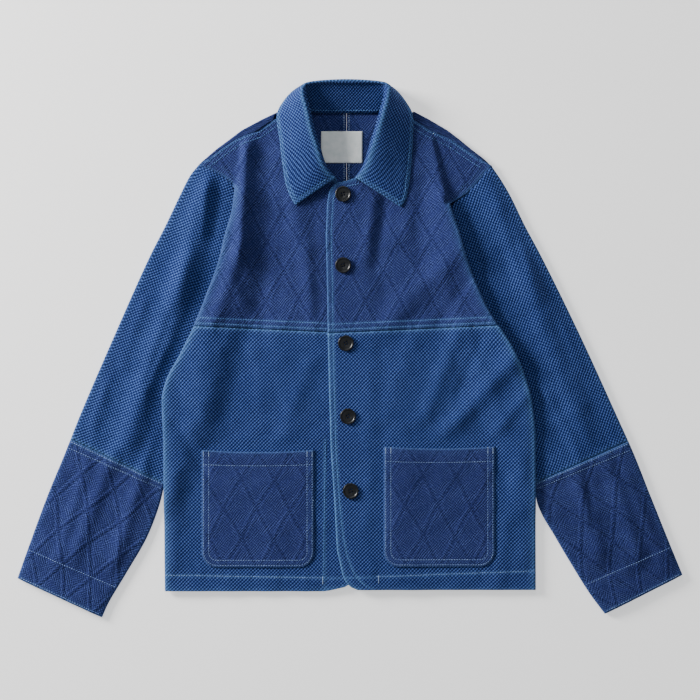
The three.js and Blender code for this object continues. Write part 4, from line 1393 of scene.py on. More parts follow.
def row_on(
    height: Callable[[Array, Array], Array], x: Array, y: Array, step: float = 2.0, **options: float
) -> Row:
    """Lay a row on a surface that is a height over the plan.

    Args:
        height: the surface.
        x: the line's places across.
        y: the line's places up.
        step: the distance between the points that are kept.
        **options: passed on to the row.

    Returns:
        The row.
    """
    x, y = np.asarray(x, float), np.asarray(y, float)
    run = run_along(np.stack([x, y], -1))
    at = np.linspace(0, run[-1], max(2, int(run[-1] / step) + 1))
    x, y = np.interp(at, run, x), np.interp(at, run, y)
    dx, dy = slope_of(height, x, y)
    normal = np.stack([-dx, -dy, np.ones(dx.shape)], -1)
    normal = normal / np.linalg.norm(normal, axis=-1, keepdims=True)
    return Row(np.stack([x, y, height(x, y)], -1), normal, **options)


def beside(x: Array, y: Array, apart: float) -> tuple[Array, Array]:
    """Move a line sideways, to its left for a distance over 0."""
    dx, dy = np.gradient(x), np.gradient(y)
    length = np.hypot(dx, dy)
    return x - dy / length * apart, y + dx / length * apart


def chest_rows(half: Half) -> list[Row]:
    """The double rows above the chest seam."""
    x = np.linspace(-262, -24, 200) if half.side is Side.RIGHT else np.linspace(-30, 225, 200)
    rows = []
    for apart in Stitching.CHEST:
        y = CHEST_Y + apart + half.seam_lean(x)
        inside = half.inside_body(x, y) > 4
        rows.append(row_on(half.yoke_face, x[inside], y[inside]))
    return rows


def shoulder_rows(half: Half) -> list[Row]:
    """The double rows below the shoulder seam."""
    y = np.array([272, 276, 289, 303, 316, 331], float)
    x = half.yoke_outer(y)
    rows = []
    for apart in Stitching.SHOULDER:
        sx, sy = beside(x, y, half.sign * apart)
        rows.append(row_on(half.yoke_face, sx, sy))
    return rows


def armhole_rows(half: Half) -> list[Row]:
    """The double rows beside the part of the armhole seam that shows."""
    line = np.array([p for p in half.armhole_line(0) if p[0] > half.cut.meets - 2])
    y, x = line[:, 0], line[:, 1]
    rows = []
    for apart in Stitching.ARMHOLE:
        sx, sy = beside(x, y, half.sign * apart)
        keep = half.sign * (half.yoke_outer(sy) - sx) > 3
        rows.append(row_on(half.yoke_face, sx[keep], sy[keep]))
    return rows


def hem_rows(half: Half) -> list[Row]:
    """The hem's row, and the small bars where its stitching ends."""
    first, last, bar = (-266, -39, -39.5) if half.side is Side.RIGHT else (40, 267, 41.5)
    x = np.linspace(first, last, 160)
    y = Stitching.hem_line(half, x)
    surface = half.front_face
    rows = [row_on(surface, x, y)]
    end = float(Stitching.hem_line(half, np.array(bar)))
    rows.append(row_on(surface, [bar, bar], [end + 1, end - 9], 1.0, pitch=1.5))
    return rows


def placket_rows() -> list[Row]:
    """The row along the upper front edge, the facing's row under it, and the top corner's."""
    left, right = HALVES[Side.LEFT], HALVES[Side.RIGHT]
    y = np.linspace(-345, CHEST_Y - 2, 150)
    rows = [row_on(left.front_face, Stitching.PLACKET(y), y)]
    y = np.linspace(CHEST_Y + 2, 205, 80)
    x = np.concatenate([Stitching.PLACKET(y), [-24, -21, -14, -3, 12]])
    y = np.concatenate([y, [216, 225, 231, 235, 238]])
    rows.append(row_on(left.yoke_face, x, y))
    y = np.linspace(-336, -134, 90)
    x = np.interp(y, [-336, -134], [-39, -35])
    rows.append(row_on(right.front_face, x, y, pitch=3.2))
    return rows


def pocket_rows(half: Half) -> list[Row]:
    """Double rows round a pocket, its hem's row and its bars at the top corners."""
    cut = half.cut.pocket
    rows = []

    def surface(x: Array, y: Array) -> Array:
        """Give the pocket's height, with its sag undone along the cloth."""
        f = (x - cut.middle) / cut.half
        along = y + POCKET_SAG * smooth(cut.top - 60, cut.top, y) * (1 - f**2)
        return half.pocket_face(x, y, along)

    for inset in Stitching.POCKET_ROWS:
        r = POCKET_CORNER - inset
        turns = np.linspace(0, math.pi / 2, 9)
        low = cut.bottom + POCKET_CORNER
        left, right = cut.left + POCKET_CORNER, cut.right - POCKET_CORNER
        x = np.concatenate([[cut.left + inset], left - r * np.cos(turns),
                            right + r * np.sin(turns), [cut.right - inset]])
        y = np.concatenate([[cut.top - 2], low - r * np.sin(turns),
                            low - r * np.cos(turns), [cut.top - 2]])
        rows.append(row_on(surface, x, y))
    x = np.linspace(cut.left + 3, cut.right - 3, 60)
    share = 1 - ((x - cut.middle) / cut.half) ** 2
    y = np.full(x.shape, cut.top - Stitching.POCKET_HEM) - POCKET_SAG * 0.6 * share
    rows.append(row_on(surface, x, y))
    for x in (cut.left + 2.8, cut.left + 10.2, cut.right - 10.2, cut.right - 2.8):
        rows.append(row_on(surface, [x, x], [cut.top - 2, cut.top - 9], 1.0, pitch=1.3))
    return rows


def sleeve_row(tube: SleeveTube, s: float, start: float, end: float, pitch: float = 3.7) -> Row:
    """A row across the upper face of a sleeve."""
    t = np.linspace(start, end, 90)
    rows = np.array([[s], [s + 0.002]])
    x, y = tube.half.sleeve_place(rows, t[None])
    grid = np.stack([x, y, tube.height(rows, t[None])], -1)
    normal = normals_of(grid)
    normal = normal * np.sign(normal[..., 2:3])
    return Row(grid[0], normal[0], pitch)


def lower_sleeve(half: Half) -> SleeveTube:
    """Give the dark lower tube of a sleeve."""
    return SleeveTube(half, SLEEVE_SEAM + SLEEVE_GAP, 1, True, 92, 64)


def cuff_rows(half: Half) -> list[Row]:
    """Double rows below the sleeve's seam, the cuff hem's row and a fine one at its edge."""
    lower = lower_sleeve(half)
    rows = [sleeve_row(lower, SLEEVE_SEAM + apart / BELOW_SEAM_RUN, 0.03, 0.97)
            for apart in Stitching.SLEEVE]
    rows.append(sleeve_row(lower, 1 - Stitching.CUFF_HEM / ABOVE_CUFF_RUN, 0.03, 0.97))
    rows.append(sleeve_row(lower, 1 - 3 / ABOVE_CUFF_RUN, 0.05, 0.95, 3.0))
    return rows


def collar_rows(form: CollarForm) -> list[Row]:
    """The row inside the collar's outer edge and ends, and the neck seam's row."""
    outer = form.outer()
    edge = form.across[:, -1:] - form.across
    points, normals = [], []

    def put(i: int, j: int) -> None:
        """Add a place of the collar to the row."""
        points.append(outer[i, j])
        normals.append(form.normal[i, j])

    first = int(np.argmax(form.outer_along > Stitching.COLLAR * 1.1))
    last = len(form.rounds) - first - 1
    columns = range(int(np.argmax(form.places > 4.6)), form.across.shape[1])
    for j in [j for j in columns if edge[first, j] > Stitching.COLLAR]:
        put(first, j)
    for i in range(first, last, 2):
        put(i, int(np.argmin(np.abs(edge[i] - Stitching.COLLAR))))
    for j in reversed([j for j in columns if edge[last, j] > Stitching.COLLAR]):
        put(last, j)
    rows = [Row(np.array(points), np.array(normals))]
    at = int(np.argmin(np.abs(form.across[120] - 3.5)))
    rows.append(Row(outer[70:-70:2, at], form.normal[70:-70:2, at], 3.2))
    return rows


def back_rows() -> list[Row]:
    """The double rows beside the centre-back seam, where they show inside the neck."""
    y = np.linspace(240, 341, 50)
    half = HALVES[Side.LEFT]
    rows = []
    for x in (CENTRE_BACK_X - Stitching.CENTRE_BACK, CENTRE_BACK_X + Stitching.CENTRE_BACK):
        rows.append(row_on(lambda a, b: half.back_height(a, b) + WALL - 0.2,
                           np.full(y.shape, x), y, pitch=3.2))
    return rows


def add_node(
    tree: bpy.types.NodeTree, kind: str, values: dict | Sequence = (), **settings: object
) -> bpy.types.Node:
    """Add a node to a tree.

    Args:
        tree: the tree.
        kind: the node's type.
        values: sockets or constants for its inputs, in their order, or by index or name.
        **settings: properties of the node.

    Returns:
        The node.
    """
    node = tree.nodes.new(kind)
    for name, value in settings.items():
        setattr(node, name, value)
    for key, value in values.items() if isinstance(values, dict) else enumerate(values):
        if isinstance(value, bpy.types.NodeSocket):
            tree.links.new(value, node.inputs[key])
        else:
            node.inputs[key].default_value = value
    return node


class Net:
    """A material's node tree, built with short calls."""

    def __init__(self, name: str) -> None:
        """Start a material with only its output and its shader.

        Args:
            name: the material's name.
        """
        self.material = bpy.data.materials.new(name)
        self.material.use_nodes = True
        self.tree = self.material.node_tree
        self.tree.nodes.clear()
        self.shader = self.add("BsdfPrincipled")
        self.add("OutputMaterial", {"Surface": self.shader.outputs[0]})

    def add(self, kind: str, values: dict | Sequence = (), **settings: object) -> bpy.types.Node:
        """Add a shader node, as add_node does."""
        return add_node(self.tree, f"ShaderNode{kind}", values, **settings)

    def math(self, operation: str, a: object, b: object = 0.0, c: object = 0.0) -> object:
        """Add a Math node and give its output."""
        return self.add("Math", (a, b, c), operation=operation).outputs[0]

    def step(self, value: object, low: float, high: float, a: float = 0, b: float = 1) -> object:
        """Step softly from a to b between low and high."""
        values = {"Value": value, "From Min": low, "From Max": high, "To Min": a, "To Max": b}
        return self.add("MapRange", values, interpolation_type="SMOOTHSTEP").outputs["Result"]

    def noise(self, vector: object, scale: float, detail: float = 2, rough: float = 0.5) -> object:
        """Add a noise and give its value."""
        values = {"Vector": vector, "Scale": scale, "Detail": detail, "Roughness": rough}
        return self.add("TexNoise", values).outputs["Fac"]

    def vector(self, x: object, y: object, z: object = 0.0) -> object:
        """Join three values into a vector."""
        return self.add("CombineXYZ", (x, y, z)).outputs[0]

    def ramp(self, value: object, stops: Sequence[tuple[float, tuple]]) -> object:
        """Colour a value by stops."""
        node = self.add("ValToRGB", (value,))
        elements = node.color_ramp.elements
        while len(elements) < len(stops):
            elements.new(0.5)
        for element, (place, colour) in zip(elements, stops):
            element.position = place
            element.color = (*colour, 1)
        return node.outputs[0]

    def mix(self, share: object, base: object, colour: tuple) -> object:
        """Mix a plain colour into another by a share."""
        node = self.add("Mix", {0: share, 6: base, 7: (*colour, 1)}, data_type="RGBA")
        return node.outputs[2]

    def bump(self, height: object, distance: float) -> None:
        """Raise the shader's surface by a height, in metres for a height of 1."""
        node = self.add("Bump", {"Strength": 1.0, "Distance": distance, "Height": height})
        self.tree.links.new(node.outputs[0], self.shader.inputs["Normal"])

    def cloth_place(self) -> tuple:
        """Give the place in the cloth, across and up its grain, in millimetres."""
        place = self.add("UVMap", uv_map="cloth").outputs[0]
        return tuple(self.add("SeparateXYZ", (place,)).outputs)[:2]

    def wear(self) -> object:
        """Give how worn the cloth is, broken up by a noise."""
        worn = self.add("Attribute", attribute_name="wear").outputs["Fac"]
        broken = self.step(self.noise(self.object_place(), 420, 3, 0.7), 0.3, 0.62, 0.35, 1.0)
        return self.math("MULTIPLY", worn, broken)

    def object_place(self) -> object:
        """Give the place on the object, in metres."""
        return self.add("TexCoord").outputs["Object"]

    def colour(self, colour: object) -> None:
        """Link the shader's colour."""
        self.tree.links.new(colour, self.shader.inputs["Base Color"])

    def set(self, **values: object) -> None:
        """Set constants of the shader, with spaces for underscores in their names."""
        for name, value in values.items():
            self.shader.inputs[name.replace("_", " ")].default_value = value


def linear(*srgb: float) -> tuple[float, float, float]:
    """Turn a display colour, 0 to 255, into a linear one."""
    return tuple((c / 255 / 12.92) if c <= 10 else ((c / 255 + 0.055) / 1.055) ** 2.4 for c in srgb)


# The tint of the cloth's loft where light grazes it
LOFT = (0.42, 0.66, 1.0, 1.0)


@dataclass(frozen=True)
class ClothLook:
    """The colours, lint, wear and depth of a cloth. Its colours are display ones, 0 to 255."""

    dark: tuple
    middle: tuple
    light: tuple
    lightest_at: float
    lint: tuple
    lint_share: float
    lint_scale: float
    lint_layer: float
    worn: tuple
    worn_share: float
    depth: float
    sheen: float = 0.12

    def dress(self, net: Net, place: tuple, tone: object, height: object, slot: str) -> Finish:
        """Colour the cloth, scatter its lint, fade its worn places and raise its threads.

        Args:
            net: the material's tree.
            place: the place in the cloth that the lint is scattered by.
            tone: how light the cloth is, 0 to 1.
            height: how high its threads stand, 0 to 1.
            slot: the record's slot.

        Returns:
            The finish.
        """
        colour = net.ramp(tone, [(0.1, linear(*self.dark)), (0.5, linear(*self.middle)),
                                 (self.lightest_at, linear(*self.light))])
        lint = net.noise(net.vector(*place, self.lint_layer), self.lint_scale, 2, 0.7)
        lint = net.math("MULTIPLY", net.step(lint, 0.68, 0.8), self.lint_share)
        colour = net.mix(lint, colour, linear(*self.lint))
        worn = net.math("MULTIPLY", net.wear(), self.worn_share)
        colour = net.mix(worn, colour, linear(*self.worn))
        net.colour(colour)
        net.set(Roughness=0.92, Sheen_Weight=self.sheen, Sheen_Roughness=0.5, Sheen_Tint=LOFT,
                Specular_IOR_Level=0.16, Specular_Tint=LOFT)
        net.bump(height, self.depth)
        return Finish(slot, net.material)


LIGHT_LOOK = ClothLook(
    dark=(8, 13, 60), middle=(33, 49, 106), light=(78, 108, 172), lightest_at=0.92,
    lint=(140, 178, 214), lint_share=0.35, lint_scale=0.9, lint_layer=7.0,
    worn=(104, 156, 210), worn_share=0.8, depth=0.0009,
)
DARK_LOOK = ClothLook(
    dark=(8, 11, 48), middle=(38, 46, 98), light=(82, 100, 162), lightest_at=1.0,
    lint=(120, 150, 196), lint_share=0.3, lint_scale=0.8, lint_layer=3.0,
    worn=(92, 136, 196), worn_share=0.7, depth=0.0008,
)


def cosine(net: Net, value: object) -> object:
    """Give the cosine of a number of turns."""
    return net.math("COSINE", net.math("MULTIPLY", value, 2 * math.pi))


def slanted(net: Net, u: object, v: object, degrees: float, pitch: float) -> object:
    """Give ribs that lean from level by an angle, as a wave of a pitch in millimetres."""
    a = math.radians(degrees)
    across = net.math("MULTIPLY", u, -math.sin(a))
    up = net.math("MULTIPLY", v, math.cos(a))
    return cosine(net, net.math("DIVIDE", net.math("ADD", across, up), pitch))


def strayed(net: Net, u: object, v: object, amount: float, scale: float) -> tuple:
    """Let a place in the cloth stray a little, so that no thread runs dead straight."""
    plan = net.vector(u, v)
    along = net.math("SUBTRACT", net.noise(plan, scale, 1), 0.5)
    shifted = net.vector(net.math("ADD", u, 311.0), v)
    across = net.math("SUBTRACT", net.noise(shifted, scale, 1), 0.5)
    return (net.math("MULTIPLY_ADD", along, amount, u),
            net.math("MULTIPLY_ADD", across, amount, v))


def figure_nodes(net: Net, u: object, v: object) -> tuple:
    """Let the figure stray in the material just as it does in the mesh."""
    shifted = []
    for own, other, stray in ((u, v, STRAY_ACROSS), (v, u, STRAY_UP)):
        amount, pitch, inner, inner_pitch = stray
        wave = net.math("SINE", net.math("DIVIDE", own, inner_pitch))
        turn = net.math("MULTIPLY_ADD", wave, inner, net.math("DIVIDE", other, pitch))
        shifted.append(net.math("MULTIPLY_ADD", net.math("SINE", turn), amount, own))
    return tuple(shifted)


def fading(net: Net, amount: float) -> object:
    """Give a soft uneven fading over the whole object, around 1."""
    place = net.object_place()
    broad = net.noise(place, 9, 3, 0.6)
    near = net.noise(place, 60, 3, 0.6)
    both = net.math("MULTIPLY_ADD", near, 0.4, net.math("MULTIPLY", broad, 0.6))
    return net.math("MULTIPLY_ADD", net.math("SUBTRACT", both, 0.5), amount, 1.0)


def light_cloth(look: ClothLook, slot: str) -> Finish:
    """Checked stitch-weave cloth: small raised grains, in slanting rows.

    Args:
        look: its colours and depth.
        slot: the record's slot.

    Returns:
        The finish.
    """
    net = Net("light_cloth")
    u, v = net.cloth_place()
    u, v = strayed(net, u, v, 2.0, 0.06)
    across = net.math("DIVIDE", u, 5.2)
    up = net.math("DIVIDE", v, 5.3)
    rising = cosine(net, net.math("SUBTRACT", across, up))
    falling = cosine(net, net.math("ADD", across, up))
    plan = net.vector(u, v)
    share = net.step(net.noise(plan, 0.03, 2), 0.3, 0.7, 0.36, 0.5)
    grain = net.math("ADD", net.math("MULTIPLY", falling, share),
                     net.math("MULTIPLY", rising, net.math("SUBTRACT", 1.0, share)))
    slub = net.math("SUBTRACT", net.noise(plan, 0.4, 3, 0.7), 0.5)
    grain = net.math("MULTIPLY_ADD", slub, 1.5, grain)
    height = net.math("MULTIPLY_ADD", grain, 0.5, 0.5)
    tone = net.math("MULTIPLY", height, fading(net, 0.5))
    return look.dress(net, (u, v), tone, height, slot)


def dark_cloth(look: ClothLook, slot: str) -> Finish:
    """Fine twill with a woven figure of long diamonds, sunk between paler margins.

    Args:
        look: its colours and depth.
        slot: the record's slot.

    Returns:
        The finish.
    """
    net = Net("dark_cloth")
    u, v = net.cloth_place()
    wu, wv = strayed(net, u, v, 3.6, 0.07)
    twill = slanted(net, wu, wv, 50, 3.1)
    rib = slanted(net, wu, wv, -36, 3.4)
    dots = cosine(net, net.math("DIVIDE", wu, 3.6))
    plan = net.vector(wu, wv)
    share = net.step(net.noise(plan, 0.035, 2), 0.35, 0.65)
    weave = net.math("ADD", net.math("MULTIPLY", twill, net.math("MULTIPLY_ADD", share, 0.3, 0.2)),
                     net.math("MULTIPLY", rib, net.math("MULTIPLY_ADD", share, -0.3, 0.34)))
    courses = cosine(net, net.math("DIVIDE", wv, 3.9))
    weave = net.math("MULTIPLY_ADD", net.math("MULTIPLY", dots, courses), 0.45, weave)
    slub = net.math("SUBTRACT", net.noise(plan, 0.42, 3, 0.7), 0.5)
    weave = net.math("MULTIPLY_ADD", slub, 2.1, weave)
    across, up = figure_nodes(net, u, v)
    across = net.math("DIVIDE", across, DIAMOND[0])
    up = net.math("DIVIDE", up, DIAMOND[1])
    lines = []
    for sloped in (net.math("ADD", across, up), net.math("SUBTRACT", across, up)):
        whole = net.math("ROUND", sloped)
        lines.append(net.math("ABSOLUTE", net.math("SUBTRACT", sloped, whole)))
    near = net.math("MINIMUM", *lines)
    line = net.step(near, 0.02, 0.06, 1, 0)
    beside_line = net.math("MULTIPLY", net.step(near, 0.05, 0.08), net.step(near, 0.11, 0.17, 1, 0))
    dash = net.step(cosine(net, net.math("DIVIDE", wv, 5.6)), -0.5, 0.5)
    drawn = net.math("MULTIPLY", line, net.math("MULTIPLY_ADD", dash, 0.7, 0.3))
    height = net.math("MULTIPLY_ADD", weave, 0.4, 0.5)
    tone = net.math("MULTIPLY", height, fading(net, 0.6))
    tone = net.math("SUBTRACT", tone, net.math("MULTIPLY", drawn, 0.1))
    tone = net.math("MULTIPLY_ADD", net.math("MULTIPLY", beside_line, dash), 0.06, tone)
    raised = net.math("MULTIPLY_ADD", net.math("MULTIPLY", line, dash), -0.5, height)
    raised = net.math("MULTIPLY_ADD", beside_line, 0.35, raised)
    return look.dress(net, (u, v), tone, raised, slot)


def label_tape(slot: str) -> Finish:
    """Plain woven tape, pale and a little worn."""
    net = Net("label_cloth")
    u, v = net.cloth_place()
    weave = net.math("ADD", net.math("MULTIPLY", cosine(net, net.math("DIVIDE", u, 1.1)), 0.5),
                     net.math("MULTIPLY", cosine(net, net.math("DIVIDE", v, 1.4)), 0.5))
    worn = net.noise(net.vector(u, v), 0.09, 3, 0.6)
    colour = net.ramp(worn, [(0.3, linear(230, 238, 236)), (0.7, linear(250, 253, 251))])
    net.colour(colour)
    net.set(Roughness=0.85, Sheen_Weight=0.05, Specular_IOR_Level=0.25)
    net.bump(net.math("MULTIPLY_ADD", weave, 0.5, 0.5), 0.00015)
    return Finish(slot, net.material)


def button_shell(slot: str) -> Finish:
    """Dark button stuff with faint rings and a soft shine."""
    net = Net("button_shell")
    place = net.object_place()
    streak = net.noise(place, 260, 3, 0.6)
    colour = net.ramp(streak, [(0.3, linear(7, 9, 12)), (0.7, linear(21, 23, 27))])
    net.colour(colour)
    shine = net.step(streak, 0.3, 0.7, 0.28, 0.42)
    net.tree.links.new(shine, net.shader.inputs["Roughness"])
    net.set(Specular_IOR_Level=0.4)
    return Finish(slot, net.material)


def thread(name: str, pale: tuple, deep: tuple) -> Finish:
    """Sewing thread, uneven in colour along its length."""
    net = Net(name)
    place = net.object_place()
    uneven = net.noise(place, 120, 2, 0.6)
    colour = net.ramp(uneven, [(0.3, linear(*deep)), (0.7, linear(*pale))])
    net.colour(colour)
    net.set(Roughness=0.75, Sheen_Weight=0.1, Specular_IOR_Level=0.3)
    net.bump(net.noise(place, 1500, 1), 0.0001)
    return Finish("", net.material)


class StitchTree:
    """A Geometry Nodes tree that lays small stitches along the edges of a mesh."""

    # How far a stitch turns from its row, in radians, and the range of its length
    STRAY = 0.13
    UNEVEN = (0.78, 1.12)
    # How far stitches stand out of the cloth, as a share of their width
    PROUD = 0.12

    def __init__(self) -> None:
        """Build the tree once; every row object uses it with its own values."""
        self.group = bpy.data.node_groups.new("stitches_along_rows", "GeometryNodeTree")
        face = self.group.interface
        face.new_socket("Geometry", in_out="INPUT", socket_type="NodeSocketGeometry")
        self.inputs = {
            name: face.new_socket(name, in_out="INPUT", socket_type=kind).identifier
            for name, kind in (("Pitch", "NodeSocketFloat"), ("Length", "NodeSocketFloat"),
                               ("Width", "NodeSocketFloat"), ("Seed", "NodeSocketInt"),
                               ("Thread", "NodeSocketMaterial"))
        }
        face.new_socket("Geometry", in_out="OUTPUT", socket_type="NodeSocketGeometry")
        self.build()

    def add(self, kind: str, values: dict | Sequence = (), **settings: object) -> bpy.types.Node:
        """Add a node, as add_node does."""
        return add_node(self.group, kind, values, **settings)

    def build(self) -> None:
        """Wire the tree: curves, even points, small turned beads, realized, with material."""
        start = self.add("NodeGroupInput")
        end = self.add("NodeGroupOutput")
        curve = self.add("GeometryNodeMeshToCurve", {"Mesh": start.outputs["Geometry"]})
        even = self.add("GeometryNodeResampleCurve", {"Curve": curve.outputs[0]})
        even.mode = "LENGTH"
        self.group.links.new(start.outputs["Pitch"], even.inputs["Length"])
        bead = self.add("GeometryNodeMeshUVSphere", {"Segments": 6, "Rings": 3, "Radius": 0.5})
        facing = self.add("GeometryNodeInputNamedAttribute", {"Name": "facing"},
                          data_type="FLOAT_VECTOR")
        tangent = self.add("GeometryNodeInputTangent")
        along = self.add("FunctionNodeAlignRotationToVector", {"Vector": tangent.outputs[0]},
                         axis="X")
        upright = self.add("FunctionNodeAlignRotationToVector",
                           {"Rotation": along.outputs[0], "Vector": facing.outputs[0]},
                           axis="Z", pivot_axis="X")
        stray = self.add("FunctionNodeRandomValue",
                         {0: (0, 0, -self.STRAY), 1: (0, 0, self.STRAY),
                          "Seed": start.outputs["Seed"]},
                         data_type="FLOAT_VECTOR")
        turn = self.add("FunctionNodeEulerToRotation", {0: stray.outputs[0]})
        turned = self.add("FunctionNodeRotateRotation",
                          {0: upright.outputs[0], 1: turn.outputs[0]}, rotation_space="LOCAL")
        uneven = self.add("FunctionNodeRandomValue",
                          {2: self.UNEVEN[0], 3: self.UNEVEN[1],
                           "Seed": start.outputs["Seed"]}, data_type="FLOAT")
        length = self.add("ShaderNodeMath", {0: start.outputs["Length"], 1: uneven.outputs[1]},
                          operation="MULTIPLY")
        size = self.add("ShaderNodeCombineXYZ", {0: length.outputs[0], 1: start.outputs["Width"],
                                                 2: start.outputs["Width"]})
        beads = self.add("GeometryNodeInstanceOnPoints",
                         {"Points": even.outputs[0], "Instance": bead.outputs[0],
                          "Rotation": turned.outputs[0], "Scale": size.outputs[0]})
        real = self.add("GeometryNodeRealizeInstances", {0: beads.outputs[0]})
        shaded = self.add("GeometryNodeSetMaterial", {"Geometry": real.outputs[0],
                                                      "Material": start.outputs["Thread"]})
        self.group.links.new(shaded.outputs[0], end.inputs[0])

    def sew(
        self, name: str, rows: Sequence[Row], finish: Finish, size: tuple[float, float], seed: int
    ) -> Piece:
        """Lay stitches along rows, as one plain mesh.

        Args:
            name: the new object's name.
            rows: the rows, all with the same pitch.
            finish: the thread.
            size: a stitch's length and width, in millimetres.
            seed: the seed for its unevenness.

        Returns:
            The piece.
        """
        points, facing, edges = [], [], []
        for row in rows:
            start = sum(len(p) for p in points)
            points.append(row.moved_out(size[1] * self.PROUD))
            facing.append(row.normals)
            edges.extend((start + k, start + k + 1) for k in range(len(row.points) - 1))
        mesh = bpy.data.meshes.new(f"{name}_lines")
        places = (np.concatenate(points) + np.array([0, MIDDLE_Y, 0])) * MM
        mesh.from_pydata(places.tolist(), edges, [])
        attribute = mesh.attributes.new("facing", "FLOAT_VECTOR", "POINT")
        attribute.data.foreach_set("vector", np.concatenate(facing).astype(np.float32).ravel())
        carrier = placed(f"{name}_lines", mesh)
        modifier = carrier.modifiers.new("stitches", "NODES")
        modifier.node_group = self.group
        modifier[self.inputs["Pitch"]] = rows[0].pitch * MM
        modifier[self.inputs["Length"]] = size[0] * MM
        modifier[self.inputs["Width"]] = size[1] * MM
        modifier[self.inputs["Seed"]] = seed
        modifier[self.inputs["Thread"]] = finish.material
        carrier.update_tag()
        graph = bpy.context.evaluated_depsgraph_get()
        result = bpy.data.meshes.new_from_object(carrier.evaluated_get(graph))
        bpy.data.objects.remove(carrier)
        result.name = name
        result.polygons.foreach_set("use_smooth", np.ones(len(result.polygons), bool))
        return Piece(placed(name, result), finish)


@dataclass
class Jacket:
    """The whole garment: its cloth, its buttons and its sewing."""

    pieces: list[Piece] = field(default_factory=list)

    def build(self) -> None:
        """Make and declare every piece."""
        light = light_cloth(LIGHT_LOOK, "light_cloth")
        dark = dark_cloth(DARK_LOOK, "dark_cloth")
        for half in HALVES.values():
            self.add_half(half, light, dark)
        form = CollarForm()
        self.add(build_collar(form), light, ("collar",),
                 Sheet((0.5, 0.11), ("back_left_cloth", "back_right_cloth"), 0.039))
        self.add(build_label(LabelCut()), label_tape("label_cloth"),
                 ("neck_label",), Sheet((0.06, 0.046), ("back_left_cloth", "back_right_cloth")))
        self.add_buttons(ButtonCut())
        self.add_sewing(form)
        for piece in self.pieces:
            piece.declare()
            LOG.info("%s, %d faces", piece.obj.name, len(piece.obj.data.polygons))

    def add(
        self, obj: bpy.types.Object, finish: Finish, nodes: tuple = (), sheet: Sheet | None = None
    ) -> None:
        """Keep a piece, to be declared once all of them are made."""
        self.pieces.append(Piece(obj, finish, nodes, sheet))

    def add_half(self, half: Half, light: Finish, dark: Finish) -> None:
        """Make the cloth of one half."""
        word = half.side.word
        back = (f"back_{word}_cloth",)
        upper = SleeveTube(half, 0, SLEEVE_SEAM - SLEEVE_GAP, False, 150, 72)
        lower = lower_sleeve(half)
        cloths = (
            ("back", build_back(half), dark, Sheet((0.29, 0.73), ("root",), 0.155)),
            ("yoke", build_yoke(half), dark, Sheet((0.26, 0.32), back, 0.058)),
            ("front", build_front(half), light, Sheet((0.31, 0.39), back, 0.112)),
            ("sleeve_upper", upper.wall().make(f"sleeve_upper_{word}_cloth"), light,
             Sheet((0.42, 0.46), ("root",), 0.117)),
            ("sleeve_lower", lower.wall().make(f"sleeve_lower_{word}_cloth"), dark,
             Sheet((0.32, 0.25), ("root",), 0.065)),
            ("pocket", build_pocket(half), dark, Sheet((0.165, 0.172), (f"front_{word}_cloth",))),
        )
        for part, made, finish, sheet in cloths:
            self.add(made, finish, (f"{part}_{word}",), sheet)

    def add_buttons(self, cut: ButtonCut) -> None:
        """Make the buttons."""
        shell = button_shell("button")
        for number, place in enumerate(cut.places, 1):
            made = build_button(cut, place, f"button_{number}_shell")
            self.add(made, shell, (f"button_{number}",))

    def add_sewing(self, form: CollarForm) -> None:
        """Sew every row that shows."""
        tree = StitchTree()
        pale = thread("pale_thread", (104, 154, 212), (60, 100, 158))
        faded = thread("faded_thread", (142, 170, 214), (88, 116, 170))
        white = thread("white_thread", (184, 206, 232), (120, 152, 194))
        quiet = thread("deep_thread", (70, 104, 152), (40, 66, 110))
        halves = list(HALVES.values())
        groups = {
            "armhole": (quiet, (3.3, 0.9), 40, sum(map(armhole_rows, halves), [])),
            "chest": (pale, (3.5, 1.0), 0, sum(map(chest_rows, halves), [])),
            "shoulder": (pale, (3.5, 1.0), 1, sum(map(shoulder_rows, halves), [])),
            "hem": (faded, (3.5, 1.0), 2, sum(map(hem_rows, halves), [])),
            "pocket": (faded, (3.5, 1.0), 3, sum(map(pocket_rows, halves), [])),
            "cuff": (faded, (3.5, 1.0), 4, sum(map(cuff_rows, halves), [])),
            "placket": (pale, (3.5, 1.0), 5, placket_rows()),
            "collar": (pale, (3.5, 1.0), 6, collar_rows(form)),
            "back": (white, (3.3, 1.15), 20, back_rows()),
        }
        bars = []
        for name, (yarn, size, seed, rows) in groups.items():
            bars += [row for row in rows if row.pitch < BAR_PITCH]
            rows = [row for row in rows if row.pitch >= BAR_PITCH]
            self.pieces.append(tree.sew(f"{name}_stitches", rows, yarn, size, seed))
        self.pieces.append(tree.sew("bar_tacks", bars, white, (2.6, 1.0), 31))


@dataclass(frozen=True)
class Lamp:
    """A soft square light: its place and side in metres, its power in watts, its colour."""

    name: str
    place: tuple[float, float, float]
    side: float
    power: float
    colour: tuple[float, float, float]

    def hang(self) -> None:
        """Hang the light so that it looks at the jacket."""
        lamp = bpy.data.lights.new(self.name, "AREA")
        lamp.shape = "SQUARE"
        lamp.size = self.side
        lamp.energy = self.power
        lamp.color = self.colour
        made = placed(self.name, lamp)
        made.location = self.place
        made.rotation_euler = (-Vector(self.place)).to_track_quat("-Z", "Y").to_euler()


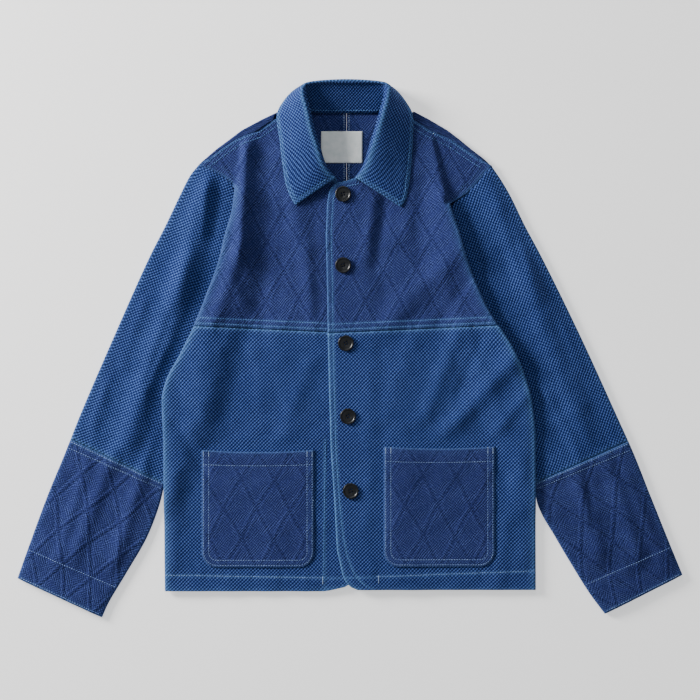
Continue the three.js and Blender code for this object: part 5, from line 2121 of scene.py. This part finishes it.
@dataclass(frozen=True)
class Studio:
    """The pale floor, the lights and the camera, which looks straight down. Metres."""

    floor_half: float = 6.0
    floor_level: float = -0.0005
    floor_glow: float = 0.7
    eye: tuple[float, float, float] = (0, -0.0006, 2.405)
    lens: float = 85
    sky: tuple[float, float, float, float] = (0.9, 0.95, 1.0, 1)
    sky_strength: float = 0.2
    lamps: tuple[Lamp, ...] = (
        Lamp("key", (-2.4, 1.2, 1.08), 0.9, 175, (1.0, 0.98, 0.96)),
        Lamp("top", (-0.3, 2.2, 1.9), 1.0, 15, (0.97, 0.98, 1.0)),
        Lamp("fill", (0.6, -0.4, 2.8), 2.4, 9, (0.94, 0.97, 1.0)),
    )

    def lay_floor(self) -> None:
        """Lay a wide pale floor just under the jacket."""
        bm = bmesh.new()
        bmesh.ops.create_grid(bm, x_segments=1, y_segments=1, size=self.floor_half)
        plane = object_of(bm, "studio_floor")
        for vertex in plane.data.vertices:
            vertex.co.z = self.floor_level
        net = Net("studio_floor")
        mottle = net.noise(net.object_place(), 3, 2)
        net.colour(net.ramp(mottle, [(0.0, (0.86, 0.86, 0.86)), (1.0, (0.9, 0.9, 0.9))]))
        net.set(Roughness=0.9, Emission_Color=(1, 1, 1, 1), Emission_Strength=self.floor_glow)
        plane.data.materials.append(net.material)

    def place_camera(self) -> None:
        """Look straight down, as the photograph does."""
        camera = bpy.data.cameras.new("camera")
        camera.lens = self.lens
        camera.sensor_width = 36
        camera.clip_end = 30
        made = placed("camera", camera)
        made.location = self.eye
        bpy.context.scene.camera = made

    def build(self) -> None:
        """Set up the whole studio."""
        self.lay_floor()
        for lamp in self.lamps:
            lamp.hang()
        world = bpy.data.worlds.new("studio")
        world.use_nodes = True
        background = world.node_tree.nodes["Background"].inputs
        background["Color"].default_value = self.sky
        background["Strength"].default_value = self.sky_strength
        bpy.context.scene.world = world
        self.place_camera()


def main() -> None:
    """Build the jacket and its studio."""
    logging.basicConfig(level=logging.INFO)
    Jacket().build()
    Studio().build()


if __name__ == "__main__":
    main()
